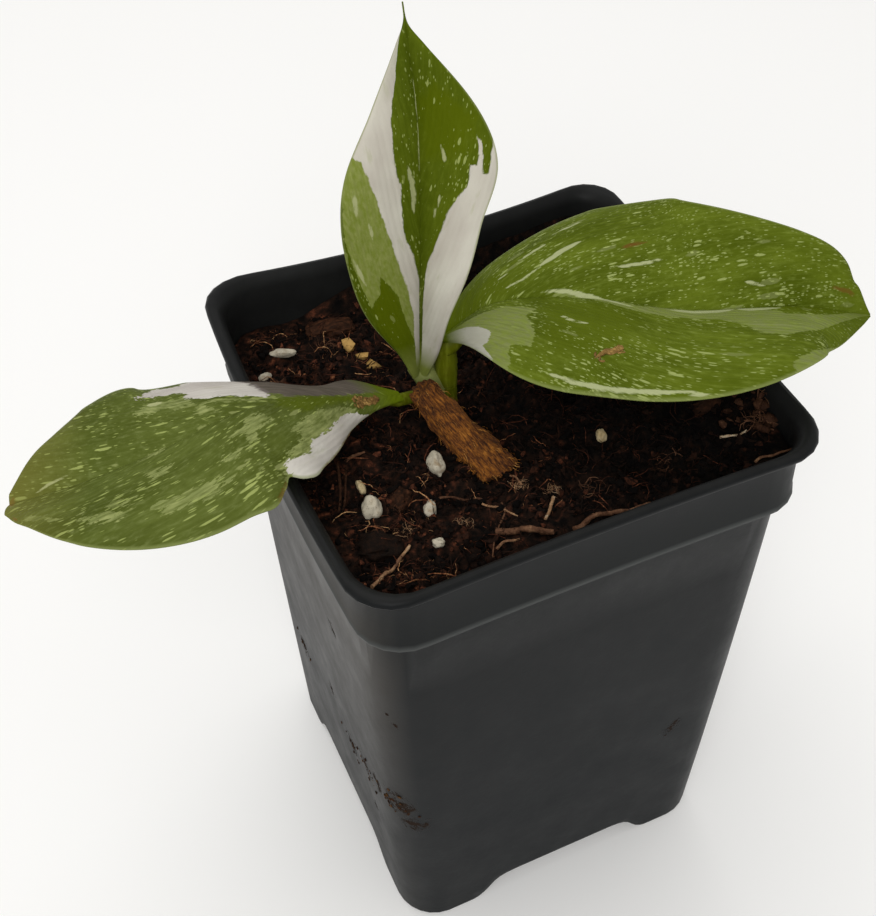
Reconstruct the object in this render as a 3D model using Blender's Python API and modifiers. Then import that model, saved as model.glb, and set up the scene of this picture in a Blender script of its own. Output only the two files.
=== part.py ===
"""Potted white wizard philodendron: a young plant with three leaves in a square nursery pot.

The pot stands at z = 0 with its base centred on the origin. +X runs to the right along the
front wall, +Y to the back and +Z up. Lengths are in metres; mm() gives points in millimetres.
"""
import math
import random

import bmesh
import bpy
import numpy as np
from mathutils import Matrix, Vector, noise

# Driving dimensions
MM = 0.001
GAP = 0.3 * MM
POT_HEIGHT = 127 * MM
RIM_HALF = 45.0 * MM
BAND_HALF = 42.9 * MM
BODY_TOP_HALF = 41.5 * MM
BASE_HALF = 37.0 * MM
BAND_HEIGHT = 18.4 * MM
LEDGE_DROP = 1.4 * MM
WALL = 0.9 * MM
RIM_RADIUS = 9.0 * MM
STEP_RADIUS = 9.8 * MM
BASE_RADIUS = 9.0 * MM
CORNER_STEPS = 6
SIDE_STEPS = 6

# Bend of the soft walls, in millimetres at the rim
SKEW = 1.67
STRETCH = 0.47
CORNER_PULL = 0.66
LEFT_BOW = -1.96
RIGHT_BOW = -0.25
BACK_BOW = -3.83
FRONT_BOW = 0.98
LEAN = (-2.13, -1.73)

# Feet and drainage
ARCH_HEIGHT = 7.3 * MM
ARCH_HALF_LOW = 20.5 * MM
ARCH_HALF_HIGH = 15.0 * MM
BOSS_HALF = 12.0 * MM
FLOOR_TOP = 8.5 * MM
DRAIN_RADIUS = 4.0 * MM
DRAIN_OFFSET = 24.0 * MM

# Soil
SOIL_CENTRE = 116.3 * MM
SOIL_RINGS = 13
SOIL_GAP = 0.45 * MM
SOIL_TILT = (0.7 * MM, -2.5 * MM)
SOIL_BOWL = 0.9 * MM
RELIEF = 2.0 * MM
RELIEF_SIZE = 7.0 * MM
DIP_CENTRE = (-8 * MM, 8 * MM)
DIP_RADIUS = 12 * MM
DIP_DEPTH = 3.5 * MM
CRUMB_COUNT = 40
CRUMB_SPREAD = 36 * MM
CRUMB_RADII = (1.3 * MM, 3.4 * MM)
SEED = 11

# Leaves
BLADE_THICKNESS = 0.8 * MM
BLADE_ROWS = 24
HALF_COLUMNS = 4
WIDTH_STATIONS = (0.0, 0.08, 0.2, 0.35, 0.5, 0.65, 0.8, 0.92, 1.0)
MARGIN_RIPPLE = 0.35 * MM
RIPPLES = 3.5
RIB_STEPS = 12
RIB_END = 0.85
RIB_RADIUS = 0.45 * MM
RIB_SINK = 0.35 * MM


def mm(*values):
    """A point given in millimetres."""
    return Vector([value * MM for value in values])


def new_collection(name):
    collection = bpy.data.collections.new(name)
    bpy.context.scene.collection.children.link(collection)
    return collection


def material(name, hex_colour, roughness, metallic=0.0):
    """A Principled material from an sRGB hex colour."""
    channels = [int(hex_colour[i:i + 2], 16) / 255 for i in (1, 3, 5)]
    linear = [c / 12.92 if c <= 0.04045 else ((c + 0.055) / 1.055) ** 2.4 for c in channels]
    finish = bpy.data.materials.new(name)
    finish.use_nodes = True
    shader = finish.node_tree.nodes["Principled BSDF"]
    shader.inputs["Base Color"].default_value = (*linear, 1.0)
    shader.inputs["Roughness"].default_value = roughness
    shader.inputs["Metallic"].default_value = metallic
    return finish


def add_object(name, bm, finish, collection, smooth_angle=None):
    """Put a bmesh in the scene as one named object."""
    bmesh.ops.recalc_face_normals(bm, faces=bm.faces)
    mesh = bpy.data.meshes.new(name)
    bm.to_mesh(mesh)
    bm.free()
    piece = bpy.data.objects.new(name, mesh)
    collection.objects.link(piece)
    mesh.materials.append(finish)
    if smooth_angle is not None:
        mesh.shade_smooth()
        mesh.set_sharp_from_angle(angle=math.radians(smooth_angle))
    return piece


def add_boolean(piece, operation, other, solver="EXACT"):
    """A Boolean with one object or with a whole collection."""
    boolean = piece.modifiers.new(operation.title(), "BOOLEAN")
    boolean.operation = operation
    boolean.solver = solver
    if isinstance(other, bpy.types.Collection):
        boolean.operand_type = "COLLECTION"
        boolean.collection = other
    else:
        boolean.object = other
    return boolean


def apply_modifiers(piece):
    """Keep the evaluated shape as the object's own mesh."""
    bpy.context.view_layer.update()
    evaluated = piece.evaluated_get(bpy.context.evaluated_depsgraph_get())
    mesh = bpy.data.meshes.new_from_object(evaluated)
    piece.modifiers.clear()
    piece.data = mesh


def keep_largest_body(piece):
    """Drop the loose scraps that a cut leaves."""
    bm = bmesh.new()
    bm.from_mesh(piece.data)
    unseen = set(bm.verts)
    bodies = []
    while unseen:
        body = {unseen.pop()}
        border = list(body)
        while border:
            vertex = border.pop()
            for edge in vertex.link_edges:
                neighbour = edge.other_vert(vertex)
                if neighbour in unseen:
                    unseen.discard(neighbour)
                    body.add(neighbour)
                    border.append(neighbour)
        bodies.append(body)
    bodies.sort(key=len)
    scraps = [vertex for body in bodies[:-1] for vertex in body]
    bmesh.ops.delete(bm, geom=scraps, context="VERTS")
    bm.to_mesh(piece.data)
    bm.free()


def fuse(piece, copies):
    """Join a collection's objects to the piece in one union, then remove them.

    The manifold solver, because the exact one fails on many crumbs that overlap.
    """
    add_boolean(piece, "UNION", copies, "MANIFOLD")
    apply_modifiers(piece)
    for copy in list(copies.objects):
        bpy.data.objects.remove(copy)
    bpy.data.collections.remove(copies)


def clearance_copy(piece, cutters, gap=GAP):
    """A copy of the piece, grown by the gap along its normals, to cut a seat for it."""
    bpy.context.view_layer.update()
    evaluated = piece.evaluated_get(bpy.context.evaluated_depsgraph_get())
    mesh = bpy.data.meshes.new_from_object(evaluated)
    bm = bmesh.new()
    bm.from_mesh(mesh)
    bmesh.ops.transform(bm, matrix=piece.matrix_world, verts=bm.verts)
    bm.normal_update()
    for vertex in bm.verts:
        vertex.co += vertex.normal * gap * vertex.calc_shell_factor()
    bm.to_mesh(mesh)
    bm.free()
    return add_cutter(piece.name + "_seat", mesh, cutters)


def add_cutter(name, mesh, cutters):
    cutter = bpy.data.objects.new(name, mesh)
    cutters.objects.link(cutter)
    cutter.hide_render = True
    cutter.display_type = "WIRE"
    return cutter


def tube(name, points, radii, finish, collection, sides=2):
    """A round rod along the points, made as a bevelled curve and kept as a mesh."""
    curve = bpy.data.curves.new(name, "CURVE")
    curve.dimensions = "3D"
    curve.bevel_depth = 1.0
    curve.bevel_resolution = sides
    curve.use_fill_caps = True
    spline = curve.splines.new("POLY")
    spline.points.add(len(points) - 1)
    for control, point, radius in zip(spline.points, points, radii):
        control.co = (*point, 1.0)
        control.radius = radius
    holder = bpy.data.objects.new(name + "_curve", curve)
    collection.objects.link(holder)
    bpy.context.view_layer.update()
    evaluated = holder.evaluated_get(bpy.context.evaluated_depsgraph_get())
    mesh = bpy.data.meshes.new_from_object(evaluated)
    bm = bmesh.new()
    bm.from_mesh(mesh)
    bmesh.ops.remove_doubles(bm, verts=bm.verts, dist=0.00001)
    bpy.data.objects.remove(holder)
    bpy.data.meshes.remove(mesh)
    return add_object(name, bm, finish, collection, smooth_angle=50)


def through(stations, values, position):
    """A smooth curve through values set at the stations, read at a position from 0 to 1."""
    stations = np.asarray(stations, float)
    values = np.asarray(values, float)
    slopes = np.gradient(values, stations, axis=0)
    i = min(max(int(np.searchsorted(stations, position, side="right")) - 1, 0), len(stations) - 2)
    span = stations[i + 1] - stations[i]
    s = (position - stations[i]) / span
    start = (2 * s**3 - 3 * s**2 + 1) * values[i] + (s**3 - 2 * s**2 + s) * span * slopes[i]
    end = (3 * s**2 - 2 * s**3) * values[i + 1] + (s**3 - s**2) * span * slopes[i + 1]
    return start + end


def along(values, position):
    """The same curve with its stations evenly spread."""
    return through(np.linspace(0.0, 1.0, len(values)), values, position)


# Pot

def flex(point):
    """Bend a point with the soft walls: most at the rim, nothing at the base."""
    u = point.x / RIM_HALF
    v = point.y / RIM_HALF
    weight = max(point.z / POT_HEIGHT, 0.0) ** 1.5
    across = (1 - v * v) * (LEFT_BOW * (1 - u) + RIGHT_BOW * (1 + u)) / 2
    deep = (1 - u * u) * (BACK_BOW * (1 + v) + FRONT_BOW * (1 - v)) / 2
    shift_x = SKEW * v - STRETCH * u + CORNER_PULL * u * v + across
    shift_y = SKEW * u + STRETCH * v + deep
    lean_z = LEAN[0] * u + LEAN[1] * v
    return point + mm(shift_x, shift_y, lean_z) * weight


def square_ring(half, radius, height):
    """Points round a square with round corners, anticlockwise from above."""
    points = []
    straight = half - radius
    for quarter in range(4):
        turn = Matrix.Rotation(math.radians(90 * quarter), 3, "Z")
        for step in range(CORNER_STEPS):
            angle = math.radians(90) * step / CORNER_STEPS
            corner = Vector((math.cos(angle), math.sin(angle), 0)) * radius
            points.append(turn @ (corner + Vector((straight, straight, height))))
        for step in range(SIDE_STEPS):
            x = straight - 2 * straight * step / SIDE_STEPS
            points.append(turn @ Vector((x, half, height)))
    return points


def add_loft(bm, rings):
    """Bridge rings of like counts, from the first to the last."""
    rows = [[bm.verts.new(point) for point in ring] for ring in rings]
    for low, high in zip(rows, rows[1:]):
        for i in range(len(low)):
            j = (i + 1) % len(low)
            bm.faces.new((low[i], low[j], high[j], high[i]))
    return rows


def body_half(height):
    """Outer half width of the tapered body."""
    share = height / (POT_HEIGHT - BAND_HEIGHT - LEDGE_DROP)
    return BASE_HALF + (BODY_TOP_HALF - BASE_HALF) * share


def body_radius(height):
    share = height / (POT_HEIGHT - BAND_HEIGHT - LEDGE_DROP)
    return BASE_RADIUS + (STEP_RADIUS - BASE_RADIUS) * share


def inner_rings(clearance):
    """Rings down the inside of the wall, kept clear of it by a clearance."""
    step_top = POT_HEIGHT - BAND_HEIGHT
    step_low = step_top - LEDGE_DROP
    inset = WALL + clearance
    rings = [square_ring(BAND_HALF - inset, RIM_RADIUS - 0.4 * WALL, step_top + 0.5 * clearance)]
    for height in (step_low + 0.5 * clearance, 82 * MM, 58 * MM, 32 * MM, FLOOR_TOP + clearance):
        rings.append(square_ring(body_half(height) - inset, body_radius(height) - inset, height))
    return rings


def build_pot(collection, cutters, finish):
    step_top = POT_HEIGHT - BAND_HEIGHT
    step_low = step_top - LEDGE_DROP
    rings = [square_ring(BASE_HALF - 1.0 * MM, BASE_RADIUS - 1.0 * MM, 0.0)]
    for height in (0.9 * MM, 8 * MM, 32 * MM, 58 * MM, 82 * MM, step_low):
        rings.append(square_ring(body_half(height), body_radius(height), height))
    rings += [
        square_ring(BAND_HALF - 0.3 * MM, RIM_RADIUS, step_top),
        square_ring(BAND_HALF, RIM_RADIUS, step_top + 1.0 * MM),
        square_ring(BAND_HALF, RIM_RADIUS, POT_HEIGHT - 2.6 * MM),
        square_ring(RIM_HALF - 0.3 * MM, RIM_RADIUS, POT_HEIGHT - 1.8 * MM),
        square_ring(RIM_HALF, RIM_RADIUS, POT_HEIGHT - 0.9 * MM),
        square_ring(RIM_HALF - 0.5 * MM, RIM_RADIUS, POT_HEIGHT - 0.1 * MM),
        square_ring(RIM_HALF - 1.2 * MM, RIM_RADIUS, POT_HEIGHT),
        square_ring(RIM_HALF - 1.8 * MM, RIM_RADIUS, POT_HEIGHT - 0.3 * MM),
        square_ring(BAND_HALF - WALL, RIM_RADIUS - 0.4 * WALL, POT_HEIGHT - 2.8 * MM),
        square_ring(BAND_HALF - WALL, RIM_RADIUS - 0.4 * WALL, POT_HEIGHT - 9.0 * MM),
    ]
    rings += inner_rings(0.0)
    bm = bmesh.new()
    rows = add_loft(bm, [[flex(point) for point in ring] for ring in rings])
    bm.faces.new(rows[0])
    bm.faces.new(rows[-1])
    pot = add_object("pot", bm, finish, collection, smooth_angle=40)

    for side in range(4):
        arch = bmesh.new()
        bmesh.ops.create_cube(arch, size=1.0)
        for vertex in arch.verts:
            high = vertex.co.z > 0
            half = ARCH_HALF_HIGH if high else ARCH_HALF_LOW
            reach = 1.5 * BASE_HALF if vertex.co.y > 0 else BOSS_HALF
            height = ARCH_HEIGHT if high else -MM
            vertex.co = Vector((math.copysign(half, vertex.co.x), reach, height))
        bmesh.ops.rotate(arch, matrix=Matrix.Rotation(math.radians(90 * side), 3, "Z"), verts=arch.verts)
        bmesh.ops.recalc_face_normals(arch, faces=arch.faces)
        mesh = bpy.data.meshes.new("foot_arch")
        arch.to_mesh(mesh)
        arch.free()
        add_boolean(pot, "DIFFERENCE", add_cutter("foot_arch_%d" % side, mesh, cutters))

        drain = bmesh.new()
        bmesh.ops.create_cone(drain, cap_ends=True, segments=16, radius1=DRAIN_RADIUS,
                              radius2=DRAIN_RADIUS, depth=4 * ARCH_HEIGHT)
        place = Matrix.Rotation(math.radians(90 * side), 3, "Z") @ Vector((0, DRAIN_OFFSET, 0))
        bmesh.ops.translate(drain, vec=place, verts=drain.verts)
        mesh = bpy.data.meshes.new("drain_hole")
        drain.to_mesh(mesh)
        drain.free()
        add_boolean(pot, "DIFFERENCE", add_cutter("drain_hole_%d" % side, mesh, cutters))
    apply_modifiers(pot)
    return pot


# Soil

def soil_point(x, y, raised=0.0):
    """The soil's surface over a place on the unbent pot, bent with the walls."""
    u = x / RIM_HALF
    v = y / RIM_HALF
    height = SOIL_CENTRE + SOIL_TILT[0] * u + SOIL_TILT[1] * v + SOIL_BOWL * (u * u + v * v)
    off_dip = (Vector((x, y)) - Vector(DIP_CENTRE)).length / DIP_RADIUS
    height -= DIP_DEPTH * math.exp(-off_dip * off_dip)
    fade = min(1.0, (BAND_HALF - max(abs(x), abs(y))) / (6 * MM))
    coarse = noise.noise(Vector((x, y, 0.01)) / RELIEF_SIZE)
    fine = noise.noise(Vector((x, y, 0.05)) / (0.45 * RELIEF_SIZE))
    height += RELIEF * fade * (coarse + 0.5 * fine)
    return flex(Vector((x, y, height + raised)))


def build_soil(collection, finish):
    """The filled block, with its top raised by a formula and crumbs fused in it."""
    walls = inner_rings(SOIL_GAP)
    outline = square_ring(BAND_HALF - WALL - SOIL_GAP, RIM_RADIUS - 0.4 * WALL, 0.0)
    rings = [[flex(point) for point in ring] for ring in reversed(walls)]
    for ring_index in range(SOIL_RINGS):
        share = 1.0 - ring_index / SOIL_RINGS
        rings.append([soil_point(point.x * share, point.y * share) for point in outline])
    bm = bmesh.new()
    rows = add_loft(bm, rings)
    bm.faces.new(rows[0])
    summit = bm.verts.new(soil_point(0.0, 0.0))
    for i in range(len(rows[-1])):
        bm.faces.new((rows[-1][i], rows[-1][(i + 1) % len(rows[-1])], summit))
    soil = add_object("soil", bm, finish, collection)

    draw = random.Random(SEED)
    crumbs = new_collection("soil_crumbs")
    for _ in range(CRUMB_COUNT):
        x = draw.uniform(-CRUMB_SPREAD, CRUMB_SPREAD)
        y = draw.uniform(-CRUMB_SPREAD, CRUMB_SPREAD)
        radius = draw.uniform(*CRUMB_RADII)
        crumb = bmesh.new()
        bmesh.ops.create_icosphere(crumb, subdivisions=1, radius=radius)
        for vertex in crumb.verts:
            vertex.co *= 1 + 0.35 * draw.uniform(-1, 1)
        squash = (1.0, draw.uniform(0.6, 1.0), draw.uniform(0.5, 0.8))
        bmesh.ops.scale(crumb, vec=squash, verts=crumb.verts)
        turn = Matrix.Rotation(draw.uniform(0, math.pi), 3, "Z")
        bmesh.ops.rotate(crumb, matrix=turn, verts=crumb.verts)
        bmesh.ops.translate(crumb, vec=soil_point(x, y, -0.1 * radius), verts=crumb.verts)
        add_object("crumb", crumb, finish, crumbs)
    fuse(soil, crumbs)
    return soil


# Loose pieces in the soil: places on the unbent pot, sizes and turns

PERLITE = (
    ((-17.4, -11.5), (1.7, 2.4, 1.7), 20),
    ((-31.7, -16.5), (2.1, 2.5, 1.8), 50),
    ((-22.2, -19.9), (1.3, 1.2, 1.1), 10),
    ((-25.0, -29.6), (1.2, 1.0, 1.0), 70),
    ((-31.2, -10.5), (0.9, 1.6, 1.0), 15),
    ((-32.5, 31.5), (2.4, 1.4, 1.3), -20),
    ((-37.3, 27.4), (1.5, 1.1, 1.0), 30),
    ((12.4, -18.3), (1.2, 1.3, 1.1), 0),
)
BARK_CHIPS = (
    ((-26.2, -15.6), (4.2, 3.0, 1.6), 35),
    ((-34.0, -25.2), (6.6, 4.2, 1.5), -25),
    ((-21.5, 36.0), (8.6, 3.6, 1.8), -12),
    ((36.0, -20.5), (9.4, 2.8, 1.3), -14),
)
TWIGS = (
    (((-38.0, -33.6), (-33.4, -30.6), (-28.8, -27.6)), 0.5),
    (((-14.9, -32.0), (-10.4, -33.9), (-5.9, -36.0)), 1.0),
    (((-1.6, -28.4), (-3.4, -30.6), (-5.2, -32.4)), 0.6),
)
ROOT_STRAND = ((-1.5, -36.2), (3.4, -35.0), (8.2, -34.4), (13.2, -36.6))


def build_perlite(collection, finish):
    grains = []
    for number, (place, size, turn) in enumerate(PERLITE, 1):
        draw = random.Random(SEED + number)
        bm = bmesh.new()
        bmesh.ops.create_icosphere(bm, subdivisions=2, radius=1.0)
        for vertex in bm.verts:
            vertex.co *= 1 + 0.16 * draw.uniform(-1, 1)
        bmesh.ops.scale(bm, vec=mm(*size), verts=bm.verts)
        bmesh.ops.rotate(bm, matrix=Matrix.Rotation(math.radians(turn), 3, "Z"), verts=bm.verts)
        centre = soil_point(place[0] * MM, place[1] * MM, 0.35 * size[2] * MM)
        bmesh.ops.translate(bm, vec=centre, verts=bm.verts)
        grains.append(add_object("perlite_%d" % number, bm, finish, collection, smooth_angle=35))
    return grains


def build_bark_chips(collection, finish):
    chips = []
    for number, (place, size, turn) in enumerate(BARK_CHIPS, 1):
        draw = random.Random(SEED * 3 + number)
        bm = bmesh.new()
        bmesh.ops.create_cube(bm, size=1.0)
        bmesh.ops.scale(bm, vec=mm(*size), verts=bm.verts)
        bmesh.ops.bevel(bm, geom=bm.edges[:], offset=0.28 * size[2] * MM, segments=1, affect="EDGES")
        for vertex in bm.verts:
            vertex.co.x *= 1 + 0.1 * draw.uniform(-1, 1)
            vertex.co.y *= 1 + 0.25 * draw.uniform(-1, 1)
        bmesh.ops.rotate(bm, matrix=Matrix.Rotation(math.radians(turn), 3, "Z"), verts=bm.verts)
        centre = soil_point(place[0] * MM, place[1] * MM, 0.2 * size[2] * MM)
        bmesh.ops.translate(bm, vec=centre, verts=bm.verts)
        bmesh.ops.triangulate(bm, faces=bm.faces[:])
        chips.append(add_object("bark_chip_%d" % number, bm, finish, collection))
    return chips


def lay_on_soil(places, raised):
    """A smooth path over the soil through places on the unbent pot."""
    steps = 4 * (len(places) - 1)
    spots = [along(places, step / steps) for step in range(steps + 1)]
    return [soil_point(spot[0] * MM, spot[1] * MM, raised) for spot in spots]


def build_twigs(collection, finish, root_finish):
    sticks = []
    for number, (places, radius) in enumerate(TWIGS, 1):
        path = lay_on_soil(places, 0.5 * radius * MM)
        radii = [radius * MM * (1.1 - 0.3 * i / len(path)) for i in range(len(path))]
        sticks.append(tube("twig_%d" % number, path, radii, finish, collection, sides=1))
    path = lay_on_soil(ROOT_STRAND, 0.3 * MM)
    radii = [0.6 * MM] * len(path)
    sticks.append(tube("root_strand", path, radii, root_finish, collection, sides=1))
    return sticks


# Stem cutting and shoot

CUTTING_TOP = mm(-14.9, 2.1, 123.4)
CUTTING_END = mm(-8.2, -20.2, 115.3)
CUTTING_TOP_RADIUS = 2.5 * MM
CUTTING_END_RADIUS = 4.3 * MM
CUTTING_RIDGE = 0.6 * MM
CUTTING_SWELL = 0.4 * MM
SHOOT_PATH = (
    (-12.0, -5.5, 117.0), (-11.2, -2.4, 111.6), (-9.8, 2.2, 109.4),
    (-8.9, 5.4, 112.2), (-8.7, 6.3, 115.2), (-8.7, 6.4, 118.6),
)
SHOOT_RADII = (1.9, 2.1, 2.2, 2.1, 1.9, 1.8)


def build_cutting(collection, finish):
    """The corky old stem: a tapered round with ridges and pits, lying half in the soil."""
    axis = CUTTING_END - CUTTING_TOP
    bm = bmesh.new()
    bmesh.ops.create_cone(bm, cap_ends=True, segments=16, radius1=CUTTING_TOP_RADIUS,
                          radius2=CUTTING_END_RADIUS, depth=axis.length)
    lengthwise = [edge for edge in bm.edges if abs(edge.verts[0].co.z - edge.verts[1].co.z) > MM]
    bmesh.ops.subdivide_edges(bm, edges=lengthwise, cuts=11, use_grid_fill=True)
    for vertex in bm.verts:
        ridge = noise.noise(Vector((vertex.co.x, vertex.co.y, 0.4 * vertex.co.z)) / (1.8 * MM))
        swell = noise.noise(vertex.co / (6 * MM) + Vector((3, 0, 0)))
        outward = Vector((vertex.co.x, vertex.co.y, 0)).normalized()
        vertex.co += outward * (CUTTING_RIDGE * ridge + CUTTING_SWELL * swell)
    turn = Vector((0, 0, 1)).rotation_difference(axis).to_matrix()
    bmesh.ops.rotate(bm, matrix=turn, verts=bm.verts)
    bmesh.ops.translate(bm, vec=(CUTTING_TOP + CUTTING_END) / 2, verts=bm.verts)
    bmesh.ops.triangulate(bm, faces=bm.faces[:])
    return add_object("stem_cutting", bm, finish, collection, smooth_angle=60)


def build_shoot(collection, finish):
    steps = 15
    path = [mm(*along(SHOOT_PATH, step / steps)) for step in range(steps + 1)]
    radii = [along(SHOOT_RADII, step / steps) * MM for step in range(steps + 1)]
    return tube("shoot", path, radii, finish, collection, sides=2)


# Leaves: midrib points and widths in millimetres, roll and lift of each half in degrees

LEAVES = {
    "leaf_right": {
        "petiole": ((-8.7, 6.4, 118.9), (-8.7, 6.4, 124.0), (-8.9, 6.4, 128.2)),
        "midrib": ((-8.7, 6.4, 129.6), (0.5, 2.8, 137.0), (14.3, -5.1, 138.9),
                   (29.4, -14.0, 137.6), (49.7, -17.9, 134.1), (61.2, -24.1, 132.7)),
        "left": (1.8, 7.6, 17.3, 23.8, 24.1, 21.4, 14.7, 9.1, 0.5),
        "right": (1.8, 7.3, 17.5, 23.7, 24.2, 21.2, 14.7, 8.9, 0.5),
        "roll": (-6, 2, 8, 13, 12),
        "lift_left": (1, -4, 5, 21, 20),
        "lift_right": (13, 4, 9, 21, 19),
        "facing": (0.0, 0.0, 1.0),
        "camber": 0.10,
        "petiole_radius": 1.7,
    },
    "leaf_left": {
        "petiole": ((-9.2, 6.9, 113.5), (-11.6, 7.4, 114.2), (-15.0, 6.8, 117.3)),
        "midrib": ((-17.9, 5.1, 120.2), (-28.8, 3.6, 125.4), (-39.0, 0.1, 132.1),
                   (-50.7, -3.5, 136.4), (-63.6, -5.8, 135.8), (-76.9, -3.0, 131.3),
                   (-89.4, 2.4, 126.2)),
        "left": (1.6, 2.8, 6.9, 13.5, 17.3, 20.2, 15.3, 7.7, 0.5),
        "right": (1.6, 6.5, 4.8, 8.8, 14.5, 16.7, 16.9, 11.3, 0.5),
        "roll": (-4, -6, 2, 1, 0),
        "lift_left": (-18, -16, -9, 2, 13),
        "lift_right": (-20, -14, -11, 3, 15),
        "facing": (0.0, 0.0, 1.0),
        "camber": 0.08,
        "petiole_radius": 1.4,
    },
    "leaf_upright": {
        "petiole": ((-9.6, 6.6, 117.3), (-11.0, 6.9, 118.6), (-12.3, 7.1, 120.4)),
        "midrib": ((-13.0, 7.1, 122.2), (-12.5, 7.1, 140.1), (-11.9, 7.2, 158.0),
                   (-12.1, 7.0, 176.2), (-14.1, 6.4, 195.4)),
        "left": (1.8, 4.4, 9.2, 12.6, 13.7, 12.5, 7.4, 2.2, 0.4),
        "right": (1.8, 4.2, 6.8, 10.1, 11.6, 13.1, 8.8, 2.8, 0.4),
        "roll": (4, -13, -3, 5, -7),
        "lift_left": (41, 29, 23, 21, 27),
        "lift_right": (37, 37, 23, 17, 31),
        "facing": (-0.4, -0.916, 0.0),
        "camber": 0.10,
        "petiole_radius": 1.7,
    },
}


def leaf_frame(leaf, position):
    """The midrib point, its side direction and its facing direction at one station."""
    point = mm(*along(leaf["midrib"], position))
    before = mm(*along(leaf["midrib"], max(position - 0.01, 0.0)))
    after = mm(*along(leaf["midrib"], min(position + 0.01, 1.0)))
    tangent = (after - before).normalized()
    up = Vector(leaf["facing"]).normalized()
    up = (up - tangent * up.dot(tangent)).normalized()
    roll = math.radians(along(leaf["roll"], position))
    side = up.cross(tangent)
    return point, side * math.cos(roll) + up * math.sin(roll), up * math.cos(roll) - side * math.sin(roll)


def blade_point(leaf, position, across):
    """A point of the blade: across runs from -1 at the right margin to 1 at the left one."""
    point, side, up = leaf_frame(leaf, position)
    name = "left" if across >= 0 else "right"
    width = through(WIDTH_STATIONS, leaf[name], position) * MM
    lift = math.radians(along(leaf["lift_" + name], position))
    outward = side * math.cos(lift) * (1 if across >= 0 else -1) + up * math.sin(lift)
    share = abs(across)
    bow = leaf["camber"] * width * 4 * share * (1 - share)
    ripple = MARGIN_RIPPLE * share**2 * math.sin(2 * math.pi * RIPPLES * position + 2 * across)
    return point + outward * width * share + up * (bow + ripple)


def build_leaf(name, collection, cutters, finish):
    """A blade with its own petiole, whose end runs on under the blade as the midrib."""
    leaf = LEAVES[name]
    bm = bmesh.new()
    rows = []
    for row in range(BLADE_ROWS + 1):
        position = row / BLADE_ROWS
        columns = [column / HALF_COLUMNS for column in range(-HALF_COLUMNS, HALF_COLUMNS + 1)]
        rows.append([bm.verts.new(blade_point(leaf, position, across)) for across in columns])
    for low, high in zip(rows, rows[1:]):
        for i in range(2 * HALF_COLUMNS):
            bm.faces.new((low[i], low[i + 1], high[i + 1], high[i]))
    bmesh.ops.triangulate(bm, faces=bm.faces[:])
    blade = add_object(name, bm, finish, collection, smooth_angle=60)
    shell = blade.modifiers.new("Solidify", "SOLIDIFY")
    shell.thickness = BLADE_THICKNESS
    shell.offset = 0.0

    path = [mm(*point) for point in leaf["petiole"]]
    stalk_radius = leaf["petiole_radius"] * MM
    radii = [stalk_radius] * len(path)
    for step in range(RIB_STEPS + 1):
        point, _, up = leaf_frame(leaf, RIB_END * step / RIB_STEPS)
        taper = 1 - step / RIB_STEPS
        radius = RIB_RADIUS + (stalk_radius - RIB_RADIUS) * taper**2
        path.append(point - up * (RIB_SINK + 0.35 * (radius - RIB_RADIUS)))
        radii.append(radius)
    rib = tube(name + "_rib", path, radii, finish, cutters, sides=2)
    rib.hide_render = True
    rib.display_type = "WIRE"
    add_boolean(blade, "UNION", rib)
    apply_modifiers(blade)
    return blade


def main():
    for leftover in list(bpy.data.objects):
        bpy.data.objects.remove(leftover)
    plant = new_collection("potted_white_wizard_philodendron")
    cutters = new_collection("cutters")

    plastic = material("pot_plastic", "#2E3032", 0.45)
    earth = material("potting_mix", "#2A1A12", 0.95)
    white_grain = material("perlite_white", "#D8D4CB", 0.9)
    bark = material("bark_brown", "#6A3F26", 0.9)
    wood = material("twig_wood", "#8A6A48", 0.85)
    root = material("root_brown", "#5A3420", 0.8)
    cork = material("corky_stem", "#8A5527", 0.9)
    green_stem = material("green_stem", "#4A5A14", 0.45)
    green_leaf = material("leaf_green", "#5E6E22", 0.4)

    build_pot(plant, cutters, plastic)
    soil = build_soil(plant, earth)
    cutting = build_cutting(plant, cork)
    shoot = build_shoot(plant, green_stem)
    leaves = {name: build_leaf(name, plant, cutters, green_leaf) for name in LEAVES}
    loose = build_perlite(plant, white_grain)
    loose += build_bark_chips(plant, bark)
    loose += build_twigs(plant, wood, root)

    add_boolean(shoot, "DIFFERENCE", clearance_copy(cutting, cutters))
    apply_modifiers(shoot)
    keep_largest_body(shoot)
    petiole_seat = clearance_copy(leaves["leaf_right"], cutters)
    shoot_seat = clearance_copy(shoot, cutters)
    for name in ("leaf_left", "leaf_upright"):
        add_boolean(leaves[name], "DIFFERENCE", shoot_seat)
        add_boolean(leaves[name], "DIFFERENCE", petiole_seat)
        apply_modifiers(leaves[name])
        keep_largest_body(leaves[name])
    # The manifold solver, because the exact one leaves the soil open at the rough cutting
    for piece in [cutting, shoot, leaves["leaf_left"], leaves["leaf_upright"]] + loose:
        add_boolean(soil, "DIFFERENCE", clearance_copy(piece, cutters), "MANIFOLD")
        apply_modifiers(soil)
    keep_largest_body(soil)


main()
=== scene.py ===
"""Looks of a potted white wizard philodendron: three variegated leaves on a rooted cutting.

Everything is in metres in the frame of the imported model. mm() gives points in millimetres.
"""
import math
import random

import bmesh
import bpy
import numpy as np
from mathutils import Matrix, Vector, noise


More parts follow.
